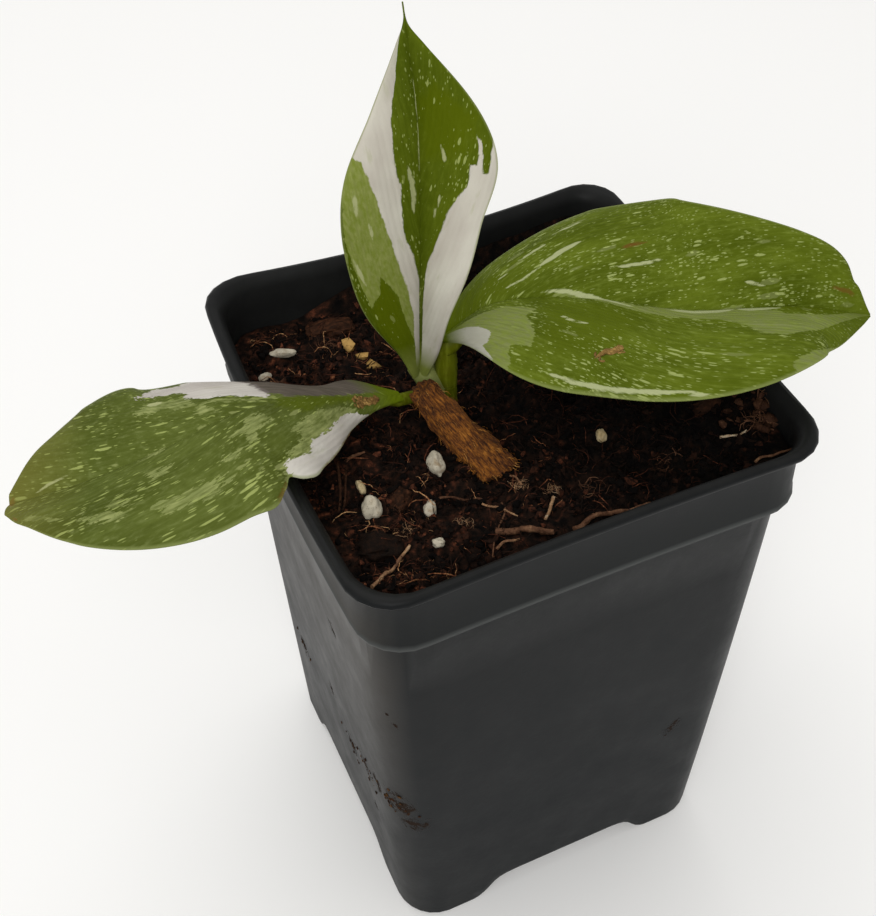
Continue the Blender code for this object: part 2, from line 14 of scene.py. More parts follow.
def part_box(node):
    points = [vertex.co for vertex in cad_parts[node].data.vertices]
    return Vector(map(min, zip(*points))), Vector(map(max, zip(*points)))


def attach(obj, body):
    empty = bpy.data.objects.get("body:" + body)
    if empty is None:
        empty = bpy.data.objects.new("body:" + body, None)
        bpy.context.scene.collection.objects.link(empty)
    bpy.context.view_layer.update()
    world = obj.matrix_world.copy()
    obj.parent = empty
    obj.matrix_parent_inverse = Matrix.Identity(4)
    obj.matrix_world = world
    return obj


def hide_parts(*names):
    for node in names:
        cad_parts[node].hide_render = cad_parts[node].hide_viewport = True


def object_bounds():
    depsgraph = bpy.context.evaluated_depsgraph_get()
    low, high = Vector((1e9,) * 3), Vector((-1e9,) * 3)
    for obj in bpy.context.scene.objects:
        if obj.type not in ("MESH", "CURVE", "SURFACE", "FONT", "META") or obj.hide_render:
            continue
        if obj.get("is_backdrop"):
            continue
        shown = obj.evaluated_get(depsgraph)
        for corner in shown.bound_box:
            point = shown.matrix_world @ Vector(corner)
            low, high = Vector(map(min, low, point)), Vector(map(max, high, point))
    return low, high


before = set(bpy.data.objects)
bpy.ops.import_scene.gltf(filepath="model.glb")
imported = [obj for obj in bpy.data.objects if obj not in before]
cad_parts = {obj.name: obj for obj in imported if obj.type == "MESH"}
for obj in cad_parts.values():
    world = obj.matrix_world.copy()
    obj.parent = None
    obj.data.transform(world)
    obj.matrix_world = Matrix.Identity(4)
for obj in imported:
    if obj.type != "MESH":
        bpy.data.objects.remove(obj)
cad_low, cad_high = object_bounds()
scene = bpy.context.scene

# Stage: a plain pale table under soft white studio light. The camera looks down on the plant
# from the front left, as the photograph does. The long side of the picture is 916 pixels.
MM = 0.001
PICTURE_HEIGHT = 916
FOCAL_PIXELS = 1343.2
FILM_SIDE = 36
NEAR_CLIP = 0.01
CAMERA_PLACE = Vector((-82.6, -159.7, 290.0)) * MM
CAMERA_RIGHT = Vector((0.9103, -0.4136, -0.0134))
CAMERA_UP = Vector((0.3087, 0.6572, 0.6876))
TABLE_WHITE = "#FAF9F7"
TABLE_HALF = 3.0
TABLE_DROP = 0.2 * MM
SKY_WHITE = "#FBFBFA"
SKY_STRENGTH = 0.55
LIGHT_AIM = Vector((0, 0, 110)) * MM
# The two soft lamps: name, place, side and power
SOFTBOXES = (
    ("softbox_left", (-0.80, -1.36, 1.55), 1.3, 22.5),
    ("softbox_above", (-0.10, 0.60, 1.90), 1.6, 12.0),
)


def mm(*values):
    """A point given in millimetres."""
    return Vector([value * MM for value in values])


def linear(hex_colour):
    """An sRGB hex colour as linear red, green, blue and alpha."""
    channels = [int(hex_colour[i:i + 2], 16) / 255 for i in (1, 3, 5)]
    return [c / 12.92 if c <= 0.04045 else ((c + 0.055) / 1.055) ** 2.4 for c in channels] + [1.0]


def new_material(name):
    """A material with an empty node tree, and that tree."""
    finish = bpy.data.materials.new(name)
    finish.use_nodes = True
    finish.node_tree.nodes.clear()
    return finish, finish.node_tree


def add_node(tree, kind, sockets=None, stops=None, **settings):
    """Add a node: sockets takes values or outputs to link, stops fills a colour ramp."""
    node = tree.nodes.new("ShaderNode" + kind)
    for name, value in settings.items():
        setattr(node, name, value)
    for key, value in (sockets or {}).items():
        if isinstance(value, bpy.types.NodeSocket):
            tree.links.new(value, node.inputs[key])
        else:
            node.inputs[key].default_value = value
    if stops:
        ramp = node.color_ramp.elements
        while len(ramp) < len(stops):
            ramp.new(0.5)
        for element, (place, colour) in zip(ramp, stops):
            element.position = place
            element.color = linear(colour)
    return node


camera_data = bpy.data.cameras.new("camera")
camera_data.sensor_width = FILM_SIDE
camera_data.lens = FILM_SIDE * FOCAL_PIXELS / PICTURE_HEIGHT
camera_data.clip_start = NEAR_CLIP
camera = bpy.data.objects.new("camera", camera_data)
turn = Matrix((CAMERA_RIGHT, CAMERA_UP, CAMERA_RIGHT.cross(CAMERA_UP))).transposed()
camera.matrix_world = Matrix.Translation(CAMERA_PLACE) @ turn.to_4x4()
scene.collection.objects.link(camera)
scene.camera = camera
scene.view_settings.view_transform = "Standard"

world = bpy.data.worlds.new("studio")
scene.world = world
world.use_nodes = True
world.node_tree.nodes["Background"].inputs["Color"].default_value = linear(SKY_WHITE)
# The wall behind the table looks white, yet lights the plant only softly
seen = add_node(world.node_tree, "LightPath").outputs["Is Camera Ray"]
strength = add_node(world.node_tree, "Math", {0: seen, 1: 1 - SKY_STRENGTH, 2: SKY_STRENGTH},
                    operation="MULTIPLY_ADD")
world.node_tree.links.new(strength.outputs[0],
                          world.node_tree.nodes["Background"].inputs["Strength"])

for name, place, size, watts in SOFTBOXES:
    lamp = bpy.data.lights.new(name, "AREA")
    lamp.shape = "SQUARE"
    lamp.size = size
    lamp.energy = watts
    holder = bpy.data.objects.new(name, lamp)
    holder.location = place
    holder.rotation_euler = (Vector(place) - LIGHT_AIM).to_track_quat("Z", "Y").to_euler()
    scene.collection.objects.link(holder)

bm = bmesh.new()
bmesh.ops.create_grid(bm, x_segments=1, y_segments=1, size=TABLE_HALF)
bmesh.ops.translate(bm, vec=Vector((0, 0, -TABLE_DROP)), verts=bm.verts)
mesh = bpy.data.meshes.new("table")
bm.to_mesh(mesh)
bm.free()
table = bpy.data.objects.new("table", mesh)
scene.collection.objects.link(table)

# Matt white paint: it shows nothing but the plant's soft shadow
finish, tree = new_material("table_paint")
shader = add_node(tree, "BsdfPrincipled", {"Base Color": linear(TABLE_WHITE), "Roughness": 0.7})
add_node(tree, "OutputMaterial", {"Surface": shader.outputs[0]})
mesh.materials.append(finish)
table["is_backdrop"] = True

# Pot: a thin square nursery pot, injection moulded from dark grey polypropylene, with a rolled
# lip, a straight band, a ledge and a tapered body on four feet. Its soft walls bow at the rim.
POT_HEIGHT = 127 * MM
RIM_HALF = 45.0 * MM
BAND_HALF = 42.9 * MM
BODY_TOP_HALF = 41.5 * MM
BASE_HALF = 37.0 * MM
BAND_HEIGHT = 15.8 * MM
LEDGE_DROP = 1.4 * MM
WALL = 0.9 * MM
RIM_RADIUS = 9.0 * MM
STEP_RADIUS = 9.8 * MM
BASE_RADIUS = 9.0 * MM
BASE_ROUND = 1.0 * MM
INNER_RADIUS = RIM_RADIUS - 0.4 * WALL
FLOOR_TOP = 8.5 * MM
STEP_TOP = POT_HEIGHT - BAND_HEIGHT
STEP_LOW = STEP_TOP - LEDGE_DROP
# How the walls bend, in millimetres at the rim: out of square, bowed inwards and leaning
SKEW = 1.67
STRETCH = 0.47
CORNER_PULL = 0.66
LEFT_BOW = -1.96
RIGHT_BOW = -0.25
BACK_BOW = -3.83
FRONT_BOW = 0.98
LEAN = (-2.13, -1.73)
# Half of the arch between two feet, along the wall and up, in millimetres
ARCH_PROFILE = ((24.5, -1.0), (22.6, 0.15), (20.9, 0.9), (19.6, 2.0), (18.3, 3.8), (17.2, 5.4),
                (15.9, 6.5), (14.2, 7.1), (12.0, 7.3))
BOSS_HALF = 12.0 * MM
DRAIN_RADIUS = 4.0 * MM
DRAIN_OFFSET = 24.0 * MM
EDGE_ROUND = 0.35 * MM
POT_CELLS = 26
BODY_HEIGHTS = (0.4, 0.9, 4, 8, 20, 32, 58, 82, 95)
INNER_HEIGHTS = (82, 58, 32)
# Half width and height from the ledge up to the lip, over it and down its inner side
BAND_RINGS = (
    (BAND_HALF - 0.3 * MM, STEP_TOP),
    (BAND_HALF + 0.15 * MM, STEP_TOP + 0.3 * MM),
    (BAND_HALF + 0.3 * MM, STEP_TOP + 0.8 * MM),
    (BAND_HALF + 0.25 * MM, STEP_TOP + 1.15 * MM),
    (BAND_HALF, STEP_TOP + 1.7 * MM),
    (BAND_HALF, POT_HEIGHT - 2.6 * MM),
    (BAND_HALF + 0.5 * MM, POT_HEIGHT - 2.45 * MM),
    (RIM_HALF - 0.3 * MM, POT_HEIGHT - 1.8 * MM),
    (RIM_HALF, POT_HEIGHT - 1.1 * MM),
    (RIM_HALF - 0.1 * MM, POT_HEIGHT - 0.6 * MM),
    (RIM_HALF - 0.5 * MM, POT_HEIGHT - 0.15 * MM),
    (RIM_HALF - 1.2 * MM, POT_HEIGHT),
    (RIM_HALF - 1.8 * MM, POT_HEIGHT - 0.3 * MM),
    (BAND_HALF - WALL + 0.35 * MM, POT_HEIGHT - 1.6 * MM),
    (BAND_HALF - WALL, POT_HEIGHT - 2.8 * MM),
    (BAND_HALF - WALL, POT_HEIGHT - 9.0 * MM),
)
DUST_TOP = POT_HEIGHT - 3.0 * MM
# Where the ledge's painted highlight runs, and how soft it and the dust's edge under the lip are
LEDGE_HIGHLIGHT_LINE = STEP_TOP + 0.9 * MM
LINE_WIDTH = 0.6 * MM
# Dust film on each face; on the outer walls it is also painted light, most on the left, and it fades
# towards the bottom
LEAST_DUST = 0.1
INNER_DUST = 0.22
FAR_SIDE_DUST_AND_LIGHT = 0.62
DUST_AND_LIGHT_FADE = (40 * MM, 105 * MM)
DRAIN_DEPTH = 30 * MM
# The dust colour also gives the walls' painted light, and the last, light grey is the ledge's painted
# highlight
POT_COLOURS = {"plastic": "#0E1113", "scuffed": "#15181A", "dust": "#3A3733", "soil": "#261C15",
               "ledge_highlight": "#424443"}
# Smears of dried soil on the walls: each centre and its reach, in millimetres
POT_SMEARS = (
    ((-38.6, 19.8, 35.2), 7.5), ((-41.5, -14.8, 86.6), 4.2), ((-39.3, -1.5, 47.0), 4.5),
    ((-38.9, -10.8, 39.2), 6.5), ((-39.1, -19.4, 43.9), 6.5), ((-39.3, -27.3, 48.0), 7.0),
    ((-38.2, -34.8, 51.9), 8.5), ((-35.7, -37.0, 45.6), 6.5), ((-38.5, -22.3, 31.5), 4.5),
    ((-38.7, -38.0, 85.0), 2.2), ((-39.8, -36.9, 88.1), 1.6), ((22.8, -38.7, 44.3), 4.6),
)


def flex(point):
    """Bend a point with the soft walls: most at the rim, nothing at the base."""
    u = point.x / RIM_HALF
    v = point.y / RIM_HALF
    weight = max(point.z / POT_HEIGHT, 0.0) ** 1.5
    across = (1 - v * v) * (LEFT_BOW * (1 - u) + RIGHT_BOW * (1 + u)) / 2
    deep = (1 - u * u) * (BACK_BOW * (1 + v) + FRONT_BOW * (1 - v)) / 2
    shift_x = SKEW * v - STRETCH * u + CORNER_PULL * u * v + across
    shift_y = SKEW * u + STRETCH * v + deep
    lean_z = LEAN[0] * u + LEAN[1] * v
    return point + mm(shift_x, shift_y, lean_z) * weight


def round_square(a, b, half, radius):
    """Where a place (a, b) of a plain square of half side 1 lies on one with round corners."""
    reach = max(abs(a), abs(b))
    if reach < 1e-9:
        return 0.0, 0.0
    lesser = min(abs(a), abs(b)) / reach
    straight = (half - radius) / half
    if lesser <= straight:
        long, short = half, lesser * half
    else:
        angle = math.radians(45) * (lesser - straight) / (1 - straight)
        long = half - radius + radius * math.cos(angle)
        short = half - radius + radius * math.sin(angle)
    x, y = (long, short) if abs(a) >= abs(b) else (short, long)
    return math.copysign(x * reach, a), math.copysign(y * reach, b)


def square_outline(steps):
    """Places round a plain square of half side 1, closed, anticlockwise from a corner."""
    side = [-1 + 2 * step / steps for step in range(steps)]
    outline = [(s, -1.0) for s in side] + [(1.0, s) for s in side]
    outline += [(-s, 1.0) for s in side] + [(-1.0, -s) for s in side]
    return outline + outline[:1]


def pot_ring(outline, half, radius, height):
    """A ring of the pot at one height, with round corners."""
    return [flex(Vector((*round_square(a, b, half, radius), height))) for a, b in outline]


def body_ring(outline, height, inset=0.0):
    """A ring of the tapered body, set in from its outer face."""
    share = height / STEP_LOW
    half = BASE_HALF + (BODY_TOP_HALF - BASE_HALF) * share - inset
    radius = BASE_RADIUS + (STEP_RADIUS - BASE_RADIUS) * share - inset
    return pot_ring(outline, half, radius, height)


def inner_rings(outline, clearance):
    """Rings down the inside of the wall, kept clear of it by a clearance."""
    inset = WALL + clearance
    top = STEP_TOP + 0.5 * clearance
    rings = [pot_ring(outline, BAND_HALF - inset, INNER_RADIUS, top)]
    middles = [height * MM for height in INNER_HEIGHTS]
    for height in (STEP_LOW + 0.5 * clearance, *middles, FLOOR_TOP + clearance):
        rings.append(body_ring(outline, height, inset))
    return rings


def draped_grid(rows):
    """A grid of faces laid on rows of points, with the places where it meets itself welded."""
    bm = bmesh.new()
    bmesh.ops.create_grid(bm, x_segments=len(rows[0]) - 1, y_segments=len(rows) - 1, size=1.0)
    for vertex, point in zip(bm.verts, [point for row in rows for point in row]):
        vertex.co = point
    bmesh.ops.remove_doubles(bm, verts=bm.verts, dist=1e-7)
    return bm


def to_mesh(name, bm, smooth_angle=None):
    """Turn a bmesh into a mesh, shaded smooth up to an angle in degrees."""
    mesh = bpy.data.meshes.new(name)
    bm.to_mesh(mesh)
    bm.free()
    if smooth_angle is not None:
        mesh.shade_smooth()
        mesh.set_sharp_from_angle(angle=math.radians(smooth_angle))
    return mesh


def closed_mesh(name, bm, smooth_angle=None):
    """Fill a grid's open ends, face it outward and turn it into a mesh."""
    bmesh.ops.holes_fill(bm, edges=[edge for edge in bm.edges if edge.is_boundary])
    bmesh.ops.recalc_face_normals(bm, faces=bm.faces)
    return to_mesh(name, bm, smooth_angle)


def put_in_order(elements, key):
    """Sort the points or the faces of a bmesh by a key, and number them anew."""
    order = {element: number for number, element in enumerate(sorted(elements, key=key))}
    elements.sort(key=order.get)
    elements.index_update()


def finished_mesh(piece):
    """The piece's mesh with its modifiers applied."""
    bpy.context.view_layer.update()
    graph = bpy.context.evaluated_depsgraph_get()
    mesh = bpy.data.meshes.new_from_object(
        piece.evaluated_get(graph), preserve_all_data_layers=True, depsgraph=graph)
    piece.modifiers.clear()
    return mesh


def add_piece(name, mesh, *finishes):
    """Put a mesh in the scene as a piece that rides on the root body."""
    piece = bpy.data.objects.new(name, mesh)
    scene.collection.objects.link(piece)
    for finish in finishes:
        mesh.materials.append(finish)
    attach(piece, "root")
    return piece


def painted(tree, ground, *coats):
    """A ground colour under coats: each a value, its start and end, its most, and its colour."""
    if isinstance(ground, str):
        ground = linear(ground)
    for value, start, end, most, coat in coats:
        share = add_node(tree, "MapRange", {"Value": value, "From Min": start, "From Max": end,
                                            "To Max": most})
        coat = linear(coat) if isinstance(coat, str) else coat
        ground = add_node(tree, "Mix", {0: share.outputs[0], 6: ground, 7: coat},
                          data_type="RGBA").outputs[2]
    return ground


outline = square_outline(POT_CELLS)
rings = [pot_ring(outline, BASE_HALF - BASE_ROUND, BASE_RADIUS - BASE_ROUND, 0.0)]
rings += [body_ring(outline, height * MM) for height in BODY_HEIGHTS]
rings.append(body_ring(outline, STEP_LOW))
for half, height in BAND_RINGS:
    inside = half < BAND_HALF - 0.5 * WALL
    rings.append(pot_ring(outline, half, INNER_RADIUS if inside else RIM_RADIUS, height))
rings += inner_rings(outline, 0.0)
pot = bpy.data.objects.new("pot_walls", closed_mesh("pot_walls", draped_grid(rings)))
scene.collection.objects.link(pot)

cutters = []
for side in range(4):
    turn = Matrix.Rotation(math.radians(90 * side), 3, "Z")
    arch = bmesh.new()
    corners = [mm(-x, 0, z) for x, z in ARCH_PROFILE] + [mm(x, 0, z) for x, z in ARCH_PROFILE[::-1]]
    corners = [corner + Vector((0, BOSS_HALF, 0)) for corner in corners]
    end = arch.faces.new([arch.verts.new(corner) for corner in corners])
    pulled = bmesh.ops.extrude_face_region(arch, geom=[end])["geom"]
    bmesh.ops.translate(arch, vec=Vector((0, 1.5 * BASE_HALF - BOSS_HALF, 0)),
                        verts=[part for part in pulled if isinstance(part, bmesh.types.BMVert)])
    bmesh.ops.rotate(arch, matrix=turn, verts=arch.verts)
    bmesh.ops.recalc_face_normals(arch, faces=arch.faces)
    cutters.append(bpy.data.objects.new("foot_arch", to_mesh("foot_arch", arch)))
    drain = bmesh.new()
    bmesh.ops.create_cone(drain, cap_ends=True, segments=32, radius1=DRAIN_RADIUS,
                          radius2=DRAIN_RADIUS, depth=DRAIN_DEPTH)
    bmesh.ops.translate(drain, vec=turn @ Vector((0, DRAIN_OFFSET, 0)), verts=drain.verts)
    cutters.append(bpy.data.objects.new("drain_hole", to_mesh("drain_hole", drain)))
for cutter in cutters:
    scene.collection.objects.link(cutter)
    cut = pot.modifiers.new("cut", "BOOLEAN")
    cut.operation = "DIFFERENCE"
    cut.object = cutter
edges = pot.modifiers.new("rounded edges", "BEVEL")
edges.limit_method = "ANGLE"
edges.angle_limit = math.radians(55)
edges.width = EDGE_ROUND
edges.segments = 2
mesh = finished_mesh(pot)
for cutter in cutters:
    bpy.data.objects.remove(cutter)
bpy.data.objects.remove(pot)
# The cuts leave points and faces in another order each run, so both are put in a fixed one
bm = bmesh.new()
bm.from_mesh(mesh)
put_in_order(bm.verts, lambda vertex: vertex.co[:])
put_in_order(bm.faces, lambda face: sorted(vertex.index for vertex in face.verts))
mesh = to_mesh("nursery_pot", bm, 38)
# Dust lies on the outer side walls below the lip, and there it is painted light too: most on the left
# wall, least on the front
dust_and_light_layer = mesh.attributes.new("dust", "FLOAT", "POINT")
ledge_highlight = mesh.attributes.new("ledge_highlight", "FLOAT", "POINT")
for vertex, layer, ledge_glint in zip(mesh.vertices, dust_and_light_layer.data, ledge_highlight.data):
    spot, facing = vertex.co, vertex.normal
    lean = (LEAN[0] * spot.x + LEAN[1] * spot.y) * MM / RIM_HALF
    below_lip = min(max((DUST_TOP + lean - spot.z) / LINE_WIDTH, 0.0), 1.0)
    outward = max(-facing.x, FAR_SIDE_DUST_AND_LIGHT * facing.x, FAR_SIDE_DUST_AND_LIGHT * facing.y)
    dust_and_light = LEAST_DUST + below_lip * min(max(2.1 * outward - 1.05, 0.0), 0.9)
    # A painted highlight along the ledge's edge
    ledge_glint.value = math.exp(-((spot.z - LEDGE_HIGHLIGHT_LINE - 0.8 * lean) / LINE_WIDTH) ** 2)
    inside = facing.x * spot.x + facing.y * spot.y < 0 or facing.z > 0.6
    layer.value = INNER_DUST if inside else dust_and_light

# Moulded polypropylene: a satin skin with a faint orange peel, dry smears of potting mix
finish, tree = new_material("moulded_polypropylene")
place = add_node(tree, "TexCoord").outputs["Object"]
peel = add_node(tree, "TexNoise", {"Vector": place, "Scale": 1 / (0.7 * MM), "Detail": 3.0})
waves = add_node(tree, "TexNoise", {"Vector": place, "Scale": 1 / (22 * MM), "Detail": 1.0})
scuffs = add_node(tree, "TexNoise", {"Vector": place, "Scale": 1 / (9 * MM), "Detail": 6.0,
                                     "Roughness": 0.7})
grit = add_node(tree, "TexNoise", {"Vector": place, "Scale": 1 / (2.2 * MM), "Detail": 6.0,
                                   "Roughness": 0.75})
nearest = None
for spot, radius in POT_SMEARS:
    away = add_node(tree, "VectorMath", {0: place, 1: mm(*spot)}, operation="DISTANCE")
    away = add_node(tree, "Math", {0: away.outputs["Value"], 1: radius * MM}, operation="DIVIDE")
    if nearest is not None:
        away = add_node(tree, "Math", {0: away.outputs[0], 1: nearest}, operation="MINIMUM")
    nearest = away.outputs[0]
patchy = add_node(tree, "Math", {0: grit.outputs["Fac"], 1: -2.6, 2: 1.92},
                  operation="MULTIPLY_ADD")
smear = add_node(tree, "Math", {0: nearest, 1: patchy.outputs[0]}, operation="ADD")
smear = add_node(tree, "MapRange", {"Value": smear.outputs[0], "From Min": 0.75, "From Max": 1.0,
                                    "To Min": 1.0, "To Max": 0.0})
height = add_node(tree, "SeparateXYZ", {0: place}).outputs["Z"]
# The dust film, also painted light on the left wall, fainter towards the bottom and mottled
dust_and_light = add_node(tree, "Attribute", attribute_name="dust").outputs["Fac"]
fade = add_node(tree, "MapRange", {"Value": height, "From Min": DUST_AND_LIGHT_FADE[0],
                                   "From Max": DUST_AND_LIGHT_FADE[1], "To Min": 0.16})
dust_and_light = add_node(tree, "Math", {0: dust_and_light, 1: fade.outputs[0]}, operation="MULTIPLY")
mottle = add_node(tree, "MapRange", {"Value": scuffs.outputs["Fac"], "From Min": 0.2,
                                     "From Max": 0.6, "To Min": 0.65})
dust_and_light = add_node(tree, "Math", {0: dust_and_light.outputs[0], 1: mottle.outputs[0]}, operation="MULTIPLY")
# The ledge's painted highlight
ledge_highlight = add_node(tree, "Attribute", attribute_name="ledge_highlight").outputs["Fac"]
colour = painted(
    tree, POT_COLOURS["plastic"],
    (scuffs.outputs["Fac"], 0.45, 0.8, 1.0, POT_COLOURS["scuffed"]),
    (dust_and_light.outputs[0], 0.0, 1.0, 1.0, POT_COLOURS["dust"]),
    (ledge_highlight, 0.0, 1.0, 1.0, POT_COLOURS["ledge_highlight"]),
    (smear.outputs[0], 0.0, 1.0, 1.0, POT_COLOURS["soil"]),
)
satin = add_node(tree, "MapRange", {"Value": scuffs.outputs["Fac"], "From Min": 0.3,
                                    "From Max": 0.7, "To Min": 0.36, "To Max": 0.5})
rough = add_node(tree, "Math", {0: satin.outputs[0], 1: smear.outputs[0]}, operation="MAXIMUM")
relief = add_node(tree, "Bump", {"Height": waves.outputs["Fac"], "Strength": 0.12,
                                 "Distance": 1.0 * MM})
relief = add_node(tree, "Bump", {"Height": peel.outputs["Fac"], "Strength": 0.12,
                                 "Distance": 0.1 * MM, "Normal": relief.outputs[0]})
relief = add_node(tree, "Bump", {"Height": smear.outputs[0], "Strength": 0.6,
                                 "Distance": 0.4 * MM, "Normal": relief.outputs[0]})
shader = add_node(tree, "BsdfPrincipled", {
    "Base Color": colour, "Roughness": rough.outputs[0], "IOR": 1.49,
    "Specular IOR Level": 0.08, "Normal": relief.outputs[0]})
add_node(tree, "OutputMaterial", {"Surface": shader.outputs[0]})
pot = add_piece("nursery_pot", mesh, finish)
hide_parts("pot")

# Potting mix: moist peat and shredded bark, poured in and pressed down by hand. Its top is a
# rough bed of crumbs, shreds and fibres, heaped along the back wall and in the right corner.
SOIL_CENTRE = 116.3 * MM
SOIL_GAP = 0.45 * MM
SOIL_TILT = (0.7 * MM, -2.5 * MM)
SOIL_BOWL = 0.9 * MM
RELIEF = 2.0 * MM
RELIEF_SIZE = 7.0 * MM
DIP_CENTRE = (-8 * MM, 8 * MM)
DIP_RADIUS = 12 * MM
DIP_DEPTH = 3.5 * MM
HEAP_RISE = 7.0 * MM
HEAP_REACH = 3.6 * MM
HEAP_START = -30 * MM
HEAP_FULL = -13 * MM
CORNER_HEAP = (43.5 * MM, -22 * MM)
CORNER_REACH = 6.0 * MM
CORNER_RISE = 7.5 * MM
WALL_CALM = 6 * MM
LIGHTNESS_SPAN = 60 * MM
SOIL_CELLS = 220
LUMP_SIZES = ((3.4 * MM, 1.8 * MM), (1.4 * MM, 1.1 * MM))
SOIL_STOPS = (
    (0.0, "#030202"), (0.25, "#0B0705"), (0.5, "#1D110B"), (0.68, "#341D13"),
    (0.82, "#583020"), (0.93, "#875839"), (1.0, "#BC9265"),
)
# Radii along a loose fibre 1 long, and how much of the bed the loose bits lie on
FIBRE_RADII = (0.008, 0.014, 0.018, 0.019, 0.018, 0.015, 0.011, 0.005)
STREWN_SHARE = 0.97
PATCH_SIZE = 5 * MM
SINK_SHARE = 0.12
SEED = 11


def soil_point(x, y, raised=0.0):
    """The soil's surface over a place on the unbent pot, bent with the walls."""
    u = x / RIM_HALF
    v = y / RIM_HALF
    height = SOIL_CENTRE + SOIL_TILT[0] * u + SOIL_TILT[1] * v + SOIL_BOWL * (u * u + v * v)
    off_dip = (Vector((x, y)) - Vector(DIP_CENTRE)).length / DIP_RADIUS
    height -= DIP_DEPTH * math.exp(-off_dip * off_dip)
    grown = min(max((x - HEAP_START) / (HEAP_FULL - HEAP_START), 0.0), 1.0)
    near_wall = math.exp(-((BAND_HALF - y) / HEAP_REACH) ** 2)
    height += HEAP_RISE * grown * grown * (3 - 2 * grown) * near_wall
    off_corner = (Vector((x, y)) - Vector(CORNER_HEAP)).length / CORNER_REACH
    height += CORNER_RISE * math.exp(-off_corner * off_corner)
    fade = min(1.0, (BAND_HALF - max(abs(x), abs(y))) / WALL_CALM)
    coarse = noise.noise(Vector((x, y, 0.01)) / RELIEF_SIZE)
    fine = noise.noise(Vector((x, y, 0.05)) / (0.45 * RELIEF_SIZE))
    height += RELIEF * fade * (coarse + 0.5 * fine)
    return flex(Vector((x, y, height + raised)))


def crumbly(x, y):
    """Round lumps with gaps between them, raised from the smooth bed."""
    height = 0.0
    for size, rise in LUMP_SIZES:
        distances, _ = noise.voronoi(Vector((x, y, size)) / size)
        height += rise * (0.55 - distances[0])
    return height


def leftward_lightness(point):
    """How light the mix is made: most at the left, least at the right."""
    return min(max(0.5 - point.x / LIGHTNESS_SPAN, 0.0), 1.0)


def soil_colours(name, stops, roughness):
    """Earth whose colour runs with each bit's own shade, blotched and rough."""
    finish, tree = new_material(name)
    place = add_node(tree, "TexCoord").outputs["Object"]
    shade = add_node(tree, "Attribute", attribute_name="shade").outputs["Fac"]
    blotch = add_node(tree, "TexNoise", {"Vector": place, "Scale": 1 / (0.8 * MM), "Detail": 4.0,
                                         "Roughness": 0.7})
    shift = add_node(tree, "Math", {0: blotch.outputs["Fac"], 1: 0.8, 2: -0.4},
                     operation="MULTIPLY_ADD")
    mixed = add_node(tree, "Math", {0: shade, 1: shift.outputs[0]}, operation="ADD")
    colour = add_node(tree, "ValToRGB", {0: mixed.outputs[0]}, stops)
    grain = add_node(tree, "TexNoise", {"Vector": place, "Scale": 1 / (0.35 * MM), "Detail": 4.0})
    relief = add_node(tree, "Bump", {"Height": grain.outputs["Fac"], "Strength": 0.7,
                                     "Distance": 0.25 * MM})
    shader = add_node(tree, "BsdfPrincipled", {
        "Base Color": colour.outputs[0], "Roughness": roughness, "Specular IOR Level": 0.08,
        "Normal": relief.outputs[0]})
    add_node(tree, "OutputMaterial", {"Surface": shader.outputs[0]})
    return finish


def set_shade(mesh, values):
    """Store a shade from 0, dark, to 1, light, on each point of a mesh."""
    layer = mesh.attributes.get("shade") or mesh.attributes.new("shade", "FLOAT", "POINT")
    layer.data.foreach_set("value", values)


top_half = BAND_HALF - WALL - SOIL_GAP
spread = [-1 + 2 * step / SOIL_CELLS for step in range(SOIL_CELLS + 1)]


def bed_point(a, b):
    """The crumbly top over a place (a, b) of the unit square, calm where it meets the wall."""
    x, y = round_square(a, b, top_half, INNER_RADIUS)
    calm = min(1.0, 4 * (1 - max(abs(a), abs(b))))
    return soil_point(x, y, calm * crumbly(x, y))


bm = draped_grid([[bed_point(a, b) for a in spread] for b in spread])
outline = square_outline(SOIL_CELLS)
walls = list(reversed(inner_rings(outline, SOIL_GAP)))
walls.append([bed_point(a, b) for a, b in outline])
sides = to_mesh("soil_sides", draped_grid(walls))
bm.from_mesh(sides)
bpy.data.meshes.remove(sides)
bmesh.ops.remove_doubles(bm, verts=bm.verts, dist=1e-6)
mesh = closed_mesh("potting_mix", bm, 80)
# The bed's shade: lighter towards the left, darker towards the right, and blotched
set_shade(mesh, [0.2 + 0.3 * leftward_lightness(vertex.co) + 0.25 * noise.noise(vertex.co / (4 * MM))
                 + 0.4 * noise.noise(vertex.co / (1.1 * MM)) for vertex in mesh.vertices])

# Moist peat: near black in the hollows, red brown where a crumb has dried
peat = soil_colours("moist_peat", SOIL_STOPS, 0.9)
soil = add_piece("potting_mix", mesh, peat)
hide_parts("soil")


def crumb_template(draw, squash):
    """One rough crumb about 1 across."""
    bm = bmesh.new()
    bmesh.ops.create_icosphere(bm, subdivisions=1, radius=0.5)
    for vertex in bm.verts:
        vertex.co *= 1 + 0.35 * draw.uniform(-1, 1)
    bmesh.ops.scale(bm, vec=(1.0, draw.uniform(0.6, 0.95), squash), verts=bm.verts)
    mesh = to_mesh("crumb", bm, 60)
    set_shade(mesh, [0.0] * len(mesh.vertices))
    return mesh


